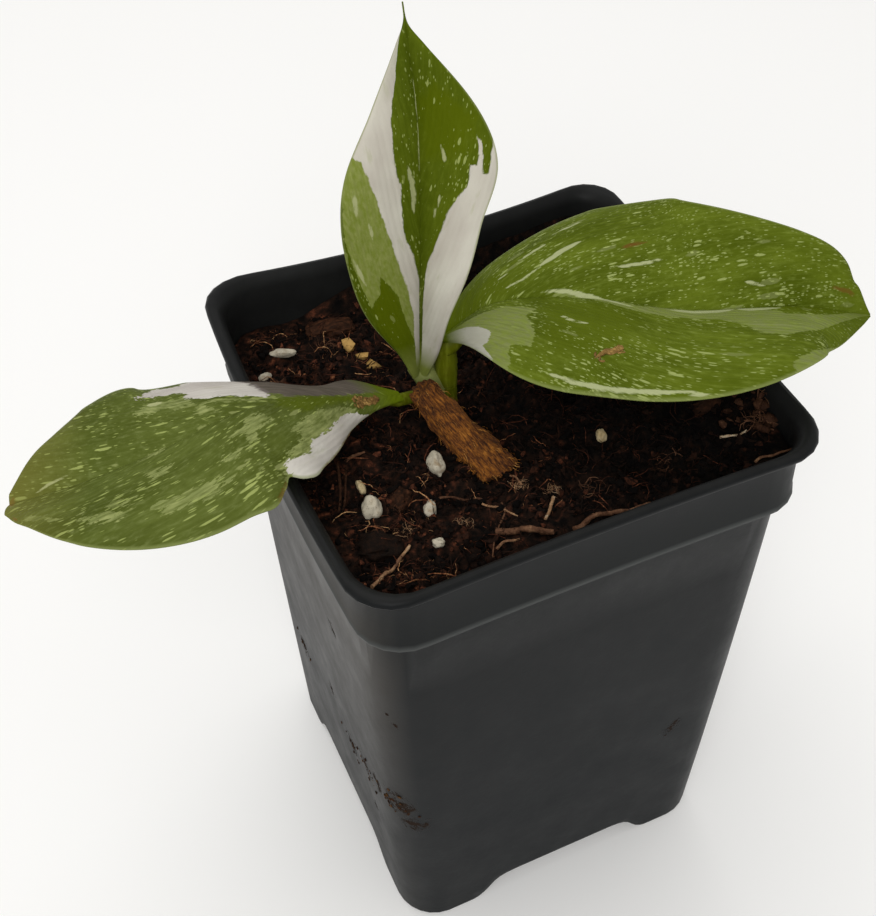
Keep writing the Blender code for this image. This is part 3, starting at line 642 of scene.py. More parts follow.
def shred_template(draw):
    """One torn shred of bark about 1 long: a curled, tapered strip."""
    bend = draw.uniform(-0.5, 0.5)
    curl = draw.uniform(0.0, 0.35)
    width = draw.uniform(0.1, 0.3)
    thick = 0.05
    rows = []
    for step in range(5):
        s = step / 4 - 0.5
        half = width * (1 - (1.7 * s) ** 2) * draw.uniform(0.7, 1.2) + 0.02
        lift = curl * 4 * s * s
        middle = Vector((s, bend * s * s, lift))
        ring = [(half, 0), (0, thick), (-half, 0.02), (0, -thick)]
        rows.append([middle + Vector((0, y, z)) for y, z in ring + ring[:1]])
    mesh = closed_mesh("shred", draped_grid(rows), 40)
    set_shade(mesh, [0.0] * len(mesh.vertices))
    return mesh


def tube_mesh(name, path, radii, sides, rough=0.0, scale=1.0):
    """A closed round rod along a path, with noise on its radius."""
    rows = []
    side = None
    for i, (point, radius) in enumerate(zip(path, radii)):
        ahead = (path[min(i + 1, len(path) - 1)] - path[max(i - 1, 0)]).normalized()
        if side is None:
            side = ahead.orthogonal().normalized()
        side = (side - ahead * side.dot(ahead)).normalized()
        other = ahead.cross(side)
        ring = []
        for step in range(sides):
            angle = 2 * math.pi * step / sides
            out = side * math.cos(angle) + other * math.sin(angle)
            swell = 1 + rough * noise.noise((point + out * radius) / scale)
            ring.append(point + out * radius * swell)
        rows.append(ring + ring[:1])
    return closed_mesh(name, draped_grid(rows), 60)


def fibre_template(draw):
    """One loose fibre about 1 long, three-sided, curled and kinked as it dried."""
    heading = draw.uniform(-1.4, 1.4)
    curl = draw.uniform(-2.6, 2.6)
    arch = draw.uniform(0.05, 0.25)
    path = [Vector((-0.4, 0.0, 0.0))]
    steps = len(FIBRE_RADII) - 1
    for step in range(steps):
        s = (step + 1) / steps
        angle = heading * 0.3 + curl * (s - 0.5) + draw.uniform(-0.45, 0.45)
        rise = arch * math.sin(math.pi * s) + draw.uniform(-0.03, 0.03)
        path.append(path[-1] + Vector((math.cos(angle) / steps, math.sin(angle) / steps, 0)))
        path[-1].z = rise
    mesh = tube_mesh("fibre", path, FIBRE_RADII, 3)
    set_shade(mesh, [0.0] * len(mesh.vertices))
    return mesh


def add_copy(bm, template, place, shade):
    """Add a placed copy of a small mesh, in its own shade."""
    copy = template.copy()
    copy.transform(place)
    set_shade(copy, [shade] * len(copy.vertices))
    bm.from_mesh(copy)
    bpy.data.meshes.remove(copy)


grain_boxes = [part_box("perlite_%d" % number) for number in range(1, 9)]


def on_grain(spot):
    """Whether a place is over one of the perlite grains, which stay bare."""
    return any(low.x < spot.x < high.x and low.y < spot.y < high.y for low, high in grain_boxes)


def scatter(name, templates, count, sizes, shades, tilt, finish, draw, clump=0.0):
    """Strew copies over the soil by seeded draws, in one piece, more in some parts."""
    bm = bmesh.new()
    placed = 0
    while placed < count:
        a, b = draw.uniform(-STREWN_SHARE, STREWN_SHARE), draw.uniform(-STREWN_SHARE, STREWN_SHARE)
        size = sizes[0] * (sizes[1] / sizes[0]) ** (draw.random() ** 1.6)
        x, y = round_square(a, b, top_half - 0.5 * size, INNER_RADIUS)
        crowd = noise.noise(Vector((x, y, size)) / PATCH_SIZE + Vector((7, 0, 0)))
        if 0.5 + 1.6 * crowd < clump * draw.random() or on_grain(soil_point(x, y)):
            continue
        placed += 1
        calm = min(1.0, 4 * (1 - max(abs(a), abs(b))))
        spot = soil_point(x, y, calm * crumbly(x, y) + SINK_SHARE * size)
        turn = Matrix.Rotation(draw.uniform(0, 2 * math.pi), 4, "Z")
        turn = turn @ Matrix.Rotation(draw.uniform(-tilt, tilt), 4, "Y")
        turn = turn @ Matrix.Rotation(draw.uniform(-tilt, tilt), 4, "X")
        shade = shades[0] + (shades[1] - shades[0]) * draw.random() ** 2.6
        # Lighter towards the left, darker towards the right
        shade *= 0.75 + 0.33 * leftward_lightness(spot)
        place = Matrix.Translation(spot) @ turn @ Matrix.Scale(size, 4)
        add_copy(bm, draw.choice(templates), place, shade)
    piece = add_piece(name, to_mesh(name, bm), finish)
    return piece


draw = random.Random(SEED)
crumbs = [crumb_template(draw, draw.uniform(0.5, 0.9)) for _ in range(6)]
shreds = [shred_template(draw) for _ in range(10)]
fibres = [fibre_template(draw) for _ in range(12)]
scatter("soil_crumbs", crumbs, 7500, (0.3 * MM, 1.9 * MM), (0.14, 0.78), 0.8, peat,
        draw, 0.4)
scatter("bark_shreds", shreds, 2100, (0.6 * MM, 3.0 * MM), (0.16, 0.8), 0.7, peat,
        draw, 0.7)
scatter("peat_fibres", fibres, 3900, (1.2 * MM, 6.0 * MM), (0.34, 0.95), 0.7, peat,
        draw, 1.0)

# Perlite: grains of volcanic glass popped white by heat, mixed into the soil to keep it airy.
# Each is a light, chalky foam with burst bubbles, and a little brown dust from the peat.
# The pits' darker colour is painted shade
PERLITE_COLOURS = {"white": "#B4AB97", "shaded_pit": "#857B6A", "dust": "#7F6848",
                   "stained": "#B39A62"}
# How much wider and taller each grain looks than its solid, seen from the camera
GRAIN_STRETCH = {1: (0.72, 1.22), 2: (0.7, 1.02), 3: (0.9, 1.5), 4: (1.0, 0.72), 5: (0.72, 1.0),
                 6: (1.1, 0.62), 7: (1.0, 0.85), 8: (0.8, 1.1)}
STAINED_GRAINS = (5, 8)
STAIN_SHARE = 0.6
GRAIN_ROUGH = 0.16 * MM
GRAIN_PITS = 0.9 * MM
finish, tree = new_material("expanded_perlite")
place = add_node(tree, "TexCoord").outputs["Object"]
cells = add_node(tree, "TexVoronoi", {"Vector": place, "Scale": 1 / (0.45 * MM)})
dust = add_node(tree, "TexNoise", {"Vector": place, "Scale": 1 / (1.4 * MM), "Detail": 4.0})
# Pits of burst bubbles, sunk by the bump and darkened with painted shade
shaded_pit = add_node(tree, "MapRange", {"Value": cells.outputs["Distance"], "From Min": 0.0,
                                     "From Max": 0.35})
stained = add_node(tree, "Attribute", attribute_name="stained").outputs["Fac"]
colour = painted(
    tree, PERLITE_COLOURS["shaded_pit"],
    (shaded_pit.outputs[0], 0.0, 1.0, 1.0, PERLITE_COLOURS["white"]),
    (dust.outputs["Fac"], 0.52, 0.72, 0.75, PERLITE_COLOURS["dust"]),
    (stained, 0.0, 1.0, 1.0, PERLITE_COLOURS["stained"]),
)
relief = add_node(tree, "Bump", {"Height": shaded_pit.outputs[0], "Strength": 0.4,
                                 "Distance": 0.12 * MM})
shader = add_node(tree, "BsdfPrincipled", {"Base Color": colour, "Roughness": 0.85,
                                           "Normal": relief.outputs[0]})
add_node(tree, "OutputMaterial", {"Surface": shader.outputs[0]})


def grown_from(node, cuts, rough, grain):
    """A finer copy of a node's mesh: welded, smoothly divided and roughened along its normals."""
    bm = bmesh.new()
    bm.from_mesh(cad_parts[node].data)
    bmesh.ops.remove_doubles(bm, verts=bm.verts, dist=1e-6)
    bmesh.ops.subdivide_edges(bm, edges=bm.edges[:], cuts=cuts, use_grid_fill=True, smooth=0.6)
    bm.normal_update()
    for vertex in bm.verts:
        swell = noise.noise(vertex.co / grain) + 0.5 * noise.noise(vertex.co / (0.4 * grain))
        vertex.co += vertex.normal * rough * swell
    return bm


for number, (wide, tall) in GRAIN_STRETCH.items():
    node = "perlite_%d" % number
    bm = grown_from(node, 3, GRAIN_ROUGH, GRAIN_PITS)
    low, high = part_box(node)
    for vertex in bm.verts:
        off = vertex.co - (low + high) / 2
        vertex.co += CAMERA_RIGHT * off.dot(CAMERA_RIGHT) * (wide - 1)
        vertex.co += CAMERA_UP * off.dot(CAMERA_UP) * (tall - 1)
    mesh = to_mesh(node, bm, 50)
    layer = mesh.attributes.new("stained", "FLOAT", "POINT")
    stain = STAIN_SHARE if number in STAINED_GRAINS else 0.0
    layer.data.foreach_set("value", [stain] * len(mesh.vertices))
    grain = add_piece("perlite_grain_%d" % number, mesh, finish)
    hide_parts(node)

# Bark chips: flat bits of composted pine bark, reddish brown, dull and layered along the grain.
# They lie loose in the top of the soil.
BARK_STOPS = ((0.0, "#120B07"), (0.35, "#2B190F"), (0.65, "#4A2C1B"), (1.0, "#74492C"))
CHIP_SHADES = {1: 0.36, 2: 0.04, 3: 0.4, 4: 0.3}
CHIP_ROUGH = 0.42 * MM
CHIP_GRAIN = 0.8 * MM
LAYER_SIZE = 1.1 * MM
bark = soil_colours("composted_bark", BARK_STOPS, 0.8)
for number, shade in CHIP_SHADES.items():
    node = "bark_chip_%d" % number
    mesh = to_mesh(node, grown_from(node, 6, CHIP_ROUGH, CHIP_GRAIN), 40)
    layers = [noise.noise(Vector((v.co.x, 2.5 * v.co.y, 4 * v.co.z)) / LAYER_SIZE)
              for v in mesh.vertices]
    set_shade(mesh, [shade * (1 + 0.9 * layer) for layer in layers])
    chip = add_piece("pine_bark_%d" % number, mesh, bark)
    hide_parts(node)

# Twigs and roots: thin dry sticks and dead roots, tan to red brown, wrinkled lengthwise. They
# lie on the soil where the photograph shows them.

# Each stick or root: places along it on the unbent pot, its radius, and its shade
TWIGS = {
    "twig_1": (((-38.9, -33.8), (-34.1, -30.7), (-29.4, -27.8)), 0.32, 0.78),
    "twig_2": (((-15.0, -30.8), (-11.7, -33.4), (-6.7, -36.4)), 0.6, 0.56),
    "twig_3": (((-2.6, -28.6), (-4.4, -30.8), (-6.5, -32.9)), 0.3, 0.84),
    "root_strand": (((-3.2, -37.3), (2.2, -36.5), (7.7, -37.3), (11.7, -39.0)), 0.42, 0.6),
}
LOOSE_ROOTS = (
    (((-14.1, -23.8), (-11.8, -26.8), (-10.1, -29.7)), 0.2, 0.76),
    (((-10.9, -25.0), (-11.4, -27.4), (-13.4, -29.4), (-15.9, -32.4), (-18.1, -36.0)), 0.16, 0.55),
    (((-32.7, -3.0), (-34.5, -9.2), (-36.8, -14.6)), 0.26, 0.4),
    (((-31.5, -3.9), (-34.0, -10.3), (-36.0, -14.4)), 0.22, 0.34),
    (((-31.4, -3.3), (-29.2, -2.2), (-27.3, -2.1)), 0.28, 0.6),
    (((-8.3, -18.0), (-6.3, -20.9), (-5.9, -23.2)), 0.2, 0.72),
    (((-21.1, -18.7), (-19.6, -18.4), (-17.9, -18.9), (-13.4, -22.7)), 0.24, 0.45),
    (((-16.6, -34.6), (-14.6, -34.4), (-12.7, -35.4)), 0.22, 0.7),
    (((31.0, -29.3), (33.4, -30.0), (36.3, -30.1)), 0.24, 0.98),
    (((32.7, -38.2), (34.4, -37.6), (36.8, -38.3), (41.1, -38.2)), 0.24, 0.66),
    (((35.4, -25.0), (36.8, -27.6), (38.6, -30.2), (40.4, -32.6)), 0.2, 0.45),
    (((42.0, -24.0), (40.2, -27.2), (39.4, -29.4), (37.0, -31.0)), 0.18, 0.5),
    (((-25.8, 38.0), (-22.6, 37.4), (-19.4, 35.6)), 0.2, 0.45),
)
# Rootlets: round tufts of fine dead roots, each with its centre, reach, shade and count
TUFTS = (((-18.9, -27.0), 1.5, 0.84, 26), ((-6.3, -23.2), 1.9, 0.84, 34),
         ((-1.9, -26.6), 1.9, 0.84, 40), ((39.0, -29.8), 3.2, 0.62, 34),
         ((43.0, -25.6), 2.6, 0.66, 22), ((-29.0, -24.6), 1.9, 0.82, 34),
         ((-27.6, -17.8), 2.0, 0.5, 14), ((-33.0, -22.0), 2.6, 0.6, 16),
         ((20.0, -30.0), 3.0, 0.55, 18), ((4.0, -30.0), 3.0, 0.6, 20),
         ((-24.0, 30.0), 3.4, 0.5, 22), ((-36.0, 22.0), 3.0, 0.55, 18))
TWIG_STOPS = ((0.0, "#1A0E0A"), (0.4, "#3E271A"), (0.65, "#6A4A36"), (0.85, "#9C7857"),
              (1.0, "#B8A488"))
STICK_RAISE = 0.45
STICK_STEPS = 24
CORNER_LUMPS = 90
CORNER_EDGE = 41.4
CORNER_SPREAD = 2.2
CORNER_RANGE = (-32, -10)

# Dry twig wood: brown in the wrinkles, pale tan where the bark has gone
dry_wood = soil_colours("dry_twig_wood", TWIG_STOPS, 0.75)


def through(stations, values, position):
    """A smooth curve through values set at the stations, read at a position from 0 to 1."""
    stations = np.asarray(stations, float)
    values = np.asarray(values, float)
    slopes = np.gradient(values, stations, axis=0)
    i = min(max(int(np.searchsorted(stations, position, side="right")) - 1, 0), len(stations) - 2)
    span = stations[i + 1] - stations[i]
    s = (position - stations[i]) / span
    start = (2 * s**3 - 3 * s**2 + 1) * values[i] + (s**3 - 2 * s**2 + s) * span * slopes[i]
    end = (3 * s**2 - 2 * s**3) * values[i + 1] + (s**3 - s**2) * span * slopes[i + 1]
    return start + end


def along(values, position):
    """The same curve with its stations evenly spread."""
    return through(np.linspace(0.0, 1.0, len(values)), values, position)


def lay_on_soil(places, raised, steps):
    """A smooth path over the soil through places on the unbent pot."""
    spots = [along(places, step / steps) for step in range(steps + 1)]
    return [soil_point(spot[0] * MM, spot[1] * MM, raised) for spot in spots]


def stick_mesh(name, places, radius, shade, sides=10):
    """A dry stick or root lying over the soil's lumps, thinner at its far end."""
    path = lay_on_soil(places, (STICK_RAISE + 0.8 * radius) * MM, STICK_STEPS)
    radii = [radius * MM * (1.1 - 0.3 * i / len(path)) for i in range(len(path))]
    mesh = tube_mesh(name, path, radii, sides, 0.35, 0.7 * MM)
    set_shade(mesh, [shade + 0.15 * noise.noise(v.co / (1.5 * MM)) for v in mesh.vertices])
    return mesh


for node, (places, radius, shade) in TWIGS.items():
    stick = add_piece("dry_" + node, stick_mesh(node, places, radius, shade), dry_wood)
    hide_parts(node)
for number, (places, radius, shade) in enumerate(LOOSE_ROOTS, 1):
    name = "loose_root_%d" % number
    root = add_piece(name, stick_mesh(name, places, radius, shade, 6), dry_wood)

bm = bmesh.new()
for (x, y), reach, shade, count in TUFTS:
    for _ in range(count):
        off = Vector((draw.gauss(0, 0.4), draw.gauss(0, 0.4))) * reach
        spot = soil_point((x + off.x) * MM, (y + off.y) * MM, draw.uniform(0.2, 0.9) * MM)
        turn = Matrix.Rotation(draw.uniform(0, 2 * math.pi), 4, "Z")
        turn = turn @ Matrix.Rotation(draw.uniform(-0.9, 0.9), 4, "Y")
        size = draw.uniform(0.5, 1.3) * reach * MM
        add_copy(bm, draw.choice(fibres), Matrix.Translation(spot) @ turn @ Matrix.Scale(size, 4),
                 shade + draw.uniform(-0.15, 0.05))
for _ in range(CORNER_LUMPS):
    x, y = CORNER_EDGE - abs(draw.gauss(0, CORNER_SPREAD)), draw.uniform(*CORNER_RANGE)
    spot = soil_point(x * MM, y * MM, draw.uniform(0.2, 0.9) * MM)
    turn = Matrix.Rotation(draw.uniform(0, 2 * math.pi), 4, "Z")
    turn = turn @ Matrix.Rotation(draw.uniform(-0.7, 0.7), 4, "Y")
    size = draw.uniform(0.9, 2.7) * MM
    add_copy(bm, draw.choice(crumbs), Matrix.Translation(spot) @ turn @ Matrix.Scale(size, 4),
             draw.uniform(0.12, 0.44))
tufts = add_piece("rootlet_tufts", to_mesh("rootlet_tufts", bm), dry_wood)

# Cutting: a short length of old stem, brown and corky, from which the plant was grown. Its skin
# is split lengthwise into ridges, and its lower end is cut at a slant and torn into fibres.
CUTTING_TOP = mm(-14.9, 2.1, 123.4)
CUTTING_END = mm(-8.8, -18.5, 115.9)
CUTTING_TOP_RADIUS = 2.5 * MM
CUTTING_END_RADIUS = 4.3 * MM
CUTTING_RIDGE = 0.6 * MM
CUTTING_SWELL = 0.4 * MM
CUTTING_ROWS = 150
CUTTING_SIDES = 96
RIDGE_SIZE = 1.8 * MM
SWELL_SIZE = 6 * MM
FLAKE_SIZE = 0.6 * MM
FLAKE_RISE = 0.3 * MM
CRACK_SPACING = 0.55 * MM
CRACK_WIDTH = 0.16
CRACK_DEPTH = 0.14 * MM
END_LENGTH = 3 * MM
CUT_SLANT = 0.7
END_SLANT = 0.6
FRAY_COUNT = 260
CORK_STOPS = (
    (0.0, "#120803"), (0.2, "#2C1608"), (0.4, "#57300F"), (0.6, "#855018"),
    (0.8, "#AC7129"), (1.0, "#CB9650"),
)
axis = CUTTING_END - CUTTING_TOP
lie = Vector((0, 0, 1)).rotation_difference(axis).to_matrix()
middle = (CUTTING_TOP + CUTTING_END) / 2
toward_camera = lie.transposed() @ CAMERA_RIGHT.cross(CAMERA_UP)
camera_left = -(lie.transposed() @ CAMERA_RIGHT)


def cork_rise(flat):
    """How far the cork stands proud at a place of the plain cone, and its painted light there: shade
    in the cracks, highlight on the flakes.
    """
    ridge = noise.noise(Vector((flat.x, flat.y, 0.4 * flat.z)) / RIDGE_SIZE)
    swell = noise.noise(flat / SWELL_SIZE + Vector((3, 0, 0)))
    flake = noise.noise(Vector((flat.x, flat.y, 0.3 * flat.z)) / FLAKE_SIZE)
    distances, _ = noise.voronoi(Vector((flat.x, flat.y, 0.2 * flat.z)) / CRACK_SPACING)
    crack = math.exp(-((distances[1] - distances[0]) / CRACK_WIDTH) ** 2)
    coarse = CUTTING_RIDGE * ridge + CUTTING_SWELL * swell
    return coarse + FLAKE_RISE * flake - CRACK_DEPTH * crack, flake - 0.55 * crack


def cutting_point(share, angle, reach=1.0):
    """A point of the cutting's skin, or of an end face where the reach is less than 1."""
    radius = CUTTING_TOP_RADIUS + (CUTTING_END_RADIUS - CUTTING_TOP_RADIUS) * share
    out = Vector((math.cos(angle), math.sin(angle), 0))
    height = (share - 0.5) * axis.length
    rise, _ = cork_rise(out * radius * reach + Vector((0, 0, height)))
    end = max(0.0, 1 - min(share, 1 - share) * axis.length / END_LENGTH)
    slant = CUT_SLANT * out.dot(toward_camera) * reach * radius
    torn = 0.6 * MM * noise.noise(out * reach * 2.5 + Vector((0, 0, share)))
    if share > 0.5:
        slant = -END_SLANT * max(0.0, out.dot(camera_left)) * reach * radius
    shift = slant + torn
    face = 1 - reach
    radius += rise - 0.35 * MM * end ** 4
    height += shift * end - 2 * rise * face
    return middle + lie @ (out * radius * reach + Vector((0, 0, height)))


angles = [2 * math.pi * step / CUTTING_SIDES for step in range(CUTTING_SIDES)]
angles.append(0.0)
reaches = (0.2, 0.4, 0.6, 0.8, 0.93)
rows = [[cutting_point(0.0, angle, reach) for angle in angles] for reach in reaches]
rows += [[cutting_point(row / CUTTING_ROWS, angle) for angle in angles]
         for row in range(CUTTING_ROWS + 1)]
rows += [[cutting_point(1.0, angle, reach) for angle in angles] for reach in reversed(reaches)]
mesh = closed_mesh("cutting", draped_grid(rows), 80)
# Lighter towards the torn end; painted highlight on the raised flakes, painted shade in the cracks and
# on the right side, away from the lamps
shades = []
for vertex in mesh.vertices:
    flat = lie.transposed() @ (vertex.co - middle)
    cloud = noise.noise(flat / (3 * MM))
    share = flat.z / axis.length + 0.5
    shaded_side = (vertex.co - middle).dot(CAMERA_RIGHT) / CUTTING_END_RADIUS
    shades.append(0.45 + 0.17 * cork_rise(flat)[1] + 0.08 * cloud + 0.12 * share
                  - 0.05 * max(0.0, shaded_side - 0.2))
set_shade(mesh, shades)

# Cork: dry, dull, orange brown between dark cracks
cork, tree = new_material("dry_cork")
place = add_node(tree, "TexCoord").outputs["Object"]
upright = add_node(tree, "VectorRotate", {"Vector": place, "Rotation": lie.transposed().to_euler()},
                   rotation_type="EULER_XYZ")
stretch = add_node(tree, "Mapping", {"Vector": upright.outputs[0], "Scale": (1, 1, 0.14)})
shade = add_node(tree, "Attribute", attribute_name="shade").outputs["Fac"]
streak = add_node(tree, "TexNoise", {"Vector": stretch.outputs[0], "Scale": 1 / (0.28 * MM),
                                     "Detail": 6.0, "Roughness": 0.7})
pits = add_node(tree, "TexNoise", {"Vector": place, "Scale": 1 / (0.8 * MM), "Detail": 3.0})
mixed = add_node(tree, "Math", {0: streak.outputs["Fac"], 1: 1.5, 2: -0.75},
                 operation="MULTIPLY_ADD")
mixed = add_node(tree, "Math", {0: mixed.outputs[0], 1: shade}, operation="ADD")
dark = add_node(tree, "MapRange", {"Value": pits.outputs["Fac"], "From Min": 0.58,
                                   "From Max": 0.7, "To Max": 0.12})
mixed = add_node(tree, "Math", {0: mixed.outputs[0], 1: dark.outputs[0]}, operation="SUBTRACT")
colour = add_node(tree, "ValToRGB", {0: mixed.outputs[0]}, CORK_STOPS)
relief = add_node(tree, "Bump", {"Height": streak.outputs["Fac"], "Strength": 0.8,
                                 "Distance": 0.35 * MM})
shader = add_node(tree, "BsdfPrincipled", {
    "Base Color": colour.outputs[0], "Roughness": 0.88, "Specular IOR Level": 0.25,
    "Normal": relief.outputs[0]})
add_node(tree, "OutputMaterial", {"Surface": shader.outputs[0]})
cutting = add_piece("corky_cutting", mesh, cork)
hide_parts("stem_cutting")

draw = random.Random(SEED + 5)
bm = bmesh.new()
for _ in range(FRAY_COUNT):
    angle = draw.uniform(0, 2 * math.pi)
    root = cutting_point(1 - 0.98 * draw.random() ** 2, angle, 0.98)
    out = (cutting_point(0.95, angle) - cutting_point(0.95, angle, 0.0)).normalized()
    stray = Vector([draw.uniform(-1, 1) for _ in range(3)])
    heading = axis.normalized() + 0.5 * out + 0.35 * stray
    turn = Vector((1, 0, 0)).rotation_difference(heading).to_matrix().to_4x4()
    length = draw.uniform(0.8, 2.6) * MM
    place = Matrix.Translation(root + heading.normalized() * 0.3 * length) @ turn
    add_copy(bm, draw.choice(fibres), place @ Matrix.Scale(length, 4), draw.uniform(0.35, 1.0))
fray = add_piece("torn_fibres", to_mesh("torn_fibres", bm), cork)

# Shoot: the young green stem that carries the leaves, rooted in the soil behind the cutting.
# Its skin is smooth, waxy and olive green, as are the leaf stalks.
SHOOT_PATH = (
    (-12.0, -5.5, 117.0), (-11.2, -2.4, 111.6), (-9.8, 2.2, 109.4),
    (-8.6, 5.2, 112.2), (-8.2, 6.1, 115.2), (-8.1, 6.2, 118.6),
)
SHOOT_RADII = (1.9, 2.1, 2.2, 2.2, 2.15, 2.1)
SHOOT_START = 0.14
SHOOT_STEPS = 30
STALK_COLOURS = {"olive": "#5C6309", "light": "#757D1E", "brown": "#5C5418", "pale": "#8A9158"}
stalk_skin, tree = new_material("waxy_stalk_skin")
place = add_node(tree, "TexCoord").outputs["Object"]
stretch = add_node(tree, "Mapping", {"Vector": place, "Scale": (1, 1, 0.18)})
lines = add_node(tree, "TexNoise", {"Vector": stretch.outputs[0], "Scale": 1 / (0.7 * MM),
                                    "Detail": 3.0})
cloud = add_node(tree, "TexNoise", {"Vector": place, "Scale": 1 / (3 * MM), "Detail": 2.0})
pale = add_node(tree, "Attribute", attribute_name="pale").outputs["Fac"]
colour = painted(
    tree, STALK_COLOURS["olive"],
    (lines.outputs["Fac"], 0.45, 0.7, 1.0, STALK_COLOURS["light"]),
    (cloud.outputs["Fac"], 0.6, 0.8, 0.6, STALK_COLOURS["brown"]),
    (pale, 0.0, 1.0, 1.0, STALK_COLOURS["pale"]),
)
relief = add_node(tree, "Bump", {"Height": lines.outputs["Fac"], "Strength": 0.15,
                                 "Distance": 0.12 * MM})
shader = add_node(tree, "BsdfPrincipled", {
    "Base Color": colour, "Roughness": 0.42, "IOR": 1.45, "Specular IOR Level": 0.2,
    "Normal": relief.outputs[0]})
add_node(tree, "OutputMaterial", {"Surface": shader.outputs[0]})

shares = [SHOOT_START + (1 - SHOOT_START) * step / SHOOT_STEPS for step in range(SHOOT_STEPS + 1)]
path = [mm(*along(SHOOT_PATH, share)) for share in shares]
radii = [along(SHOOT_RADII, share) * MM for share in shares]
mesh = tube_mesh("green_shoot", path, radii, 24, 0.08, 2.0 * MM)
shoot = add_piece("green_shoot", mesh, stalk_skin)
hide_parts("shoot")

# Leaves: three soft, thin blades on their own stalks, folded along a sunk midrib. Side veins
# leave it and curve to the tip. Cells without green make the white, sage and speckled parts.

# Lengths are in millimetres and angles in degrees. Places along a leaf run from 0 at its stalk
# to 1 at its tip, and across it from 0 at the midrib to 1 at the left edge and -1 at the right.
# left and right are half widths at the stations, roll turns the blade, and lift folds up a half.
# A vein line has how far the side veins spread, how soon, and the slope that they keep. A bite
# has its half, place, reach and depth. A marking is an outline or a line with its half width.
WIDTH_STATIONS = (0.0, 0.08, 0.2, 0.35, 0.5, 0.65, 0.8, 0.92, 0.96, 1.0)
BLADE_THICKNESS = 0.62 * MM
BLADE_ROWS = 220
HALF_COLUMNS = 36
MARGIN_RIPPLE = 0.2 * MM
RIPPLES = 3.5
GROOVE_DEPTH = 0.16 * MM
GROOVE_HALF = 0.6 * MM
PLEAT = 0.07 * MM
PLEAT_SPACING = 5.2 * MM
RIB_RADIUS = 0.45 * MM
RIB_SINK = 0.85 * MM
RIB_STEPS = 48
RIB_TAPER = 6
RIB_END = 0.85
PETIOLE_STEPS = 12
MIDRIB_STEPS = 60
COLUMN_CROWDING = 1.2
FRAME_STEP = 0.01
THIN_MARGIN = 0.9
THREAD_START = 0.88
DEEPEST = 6.0
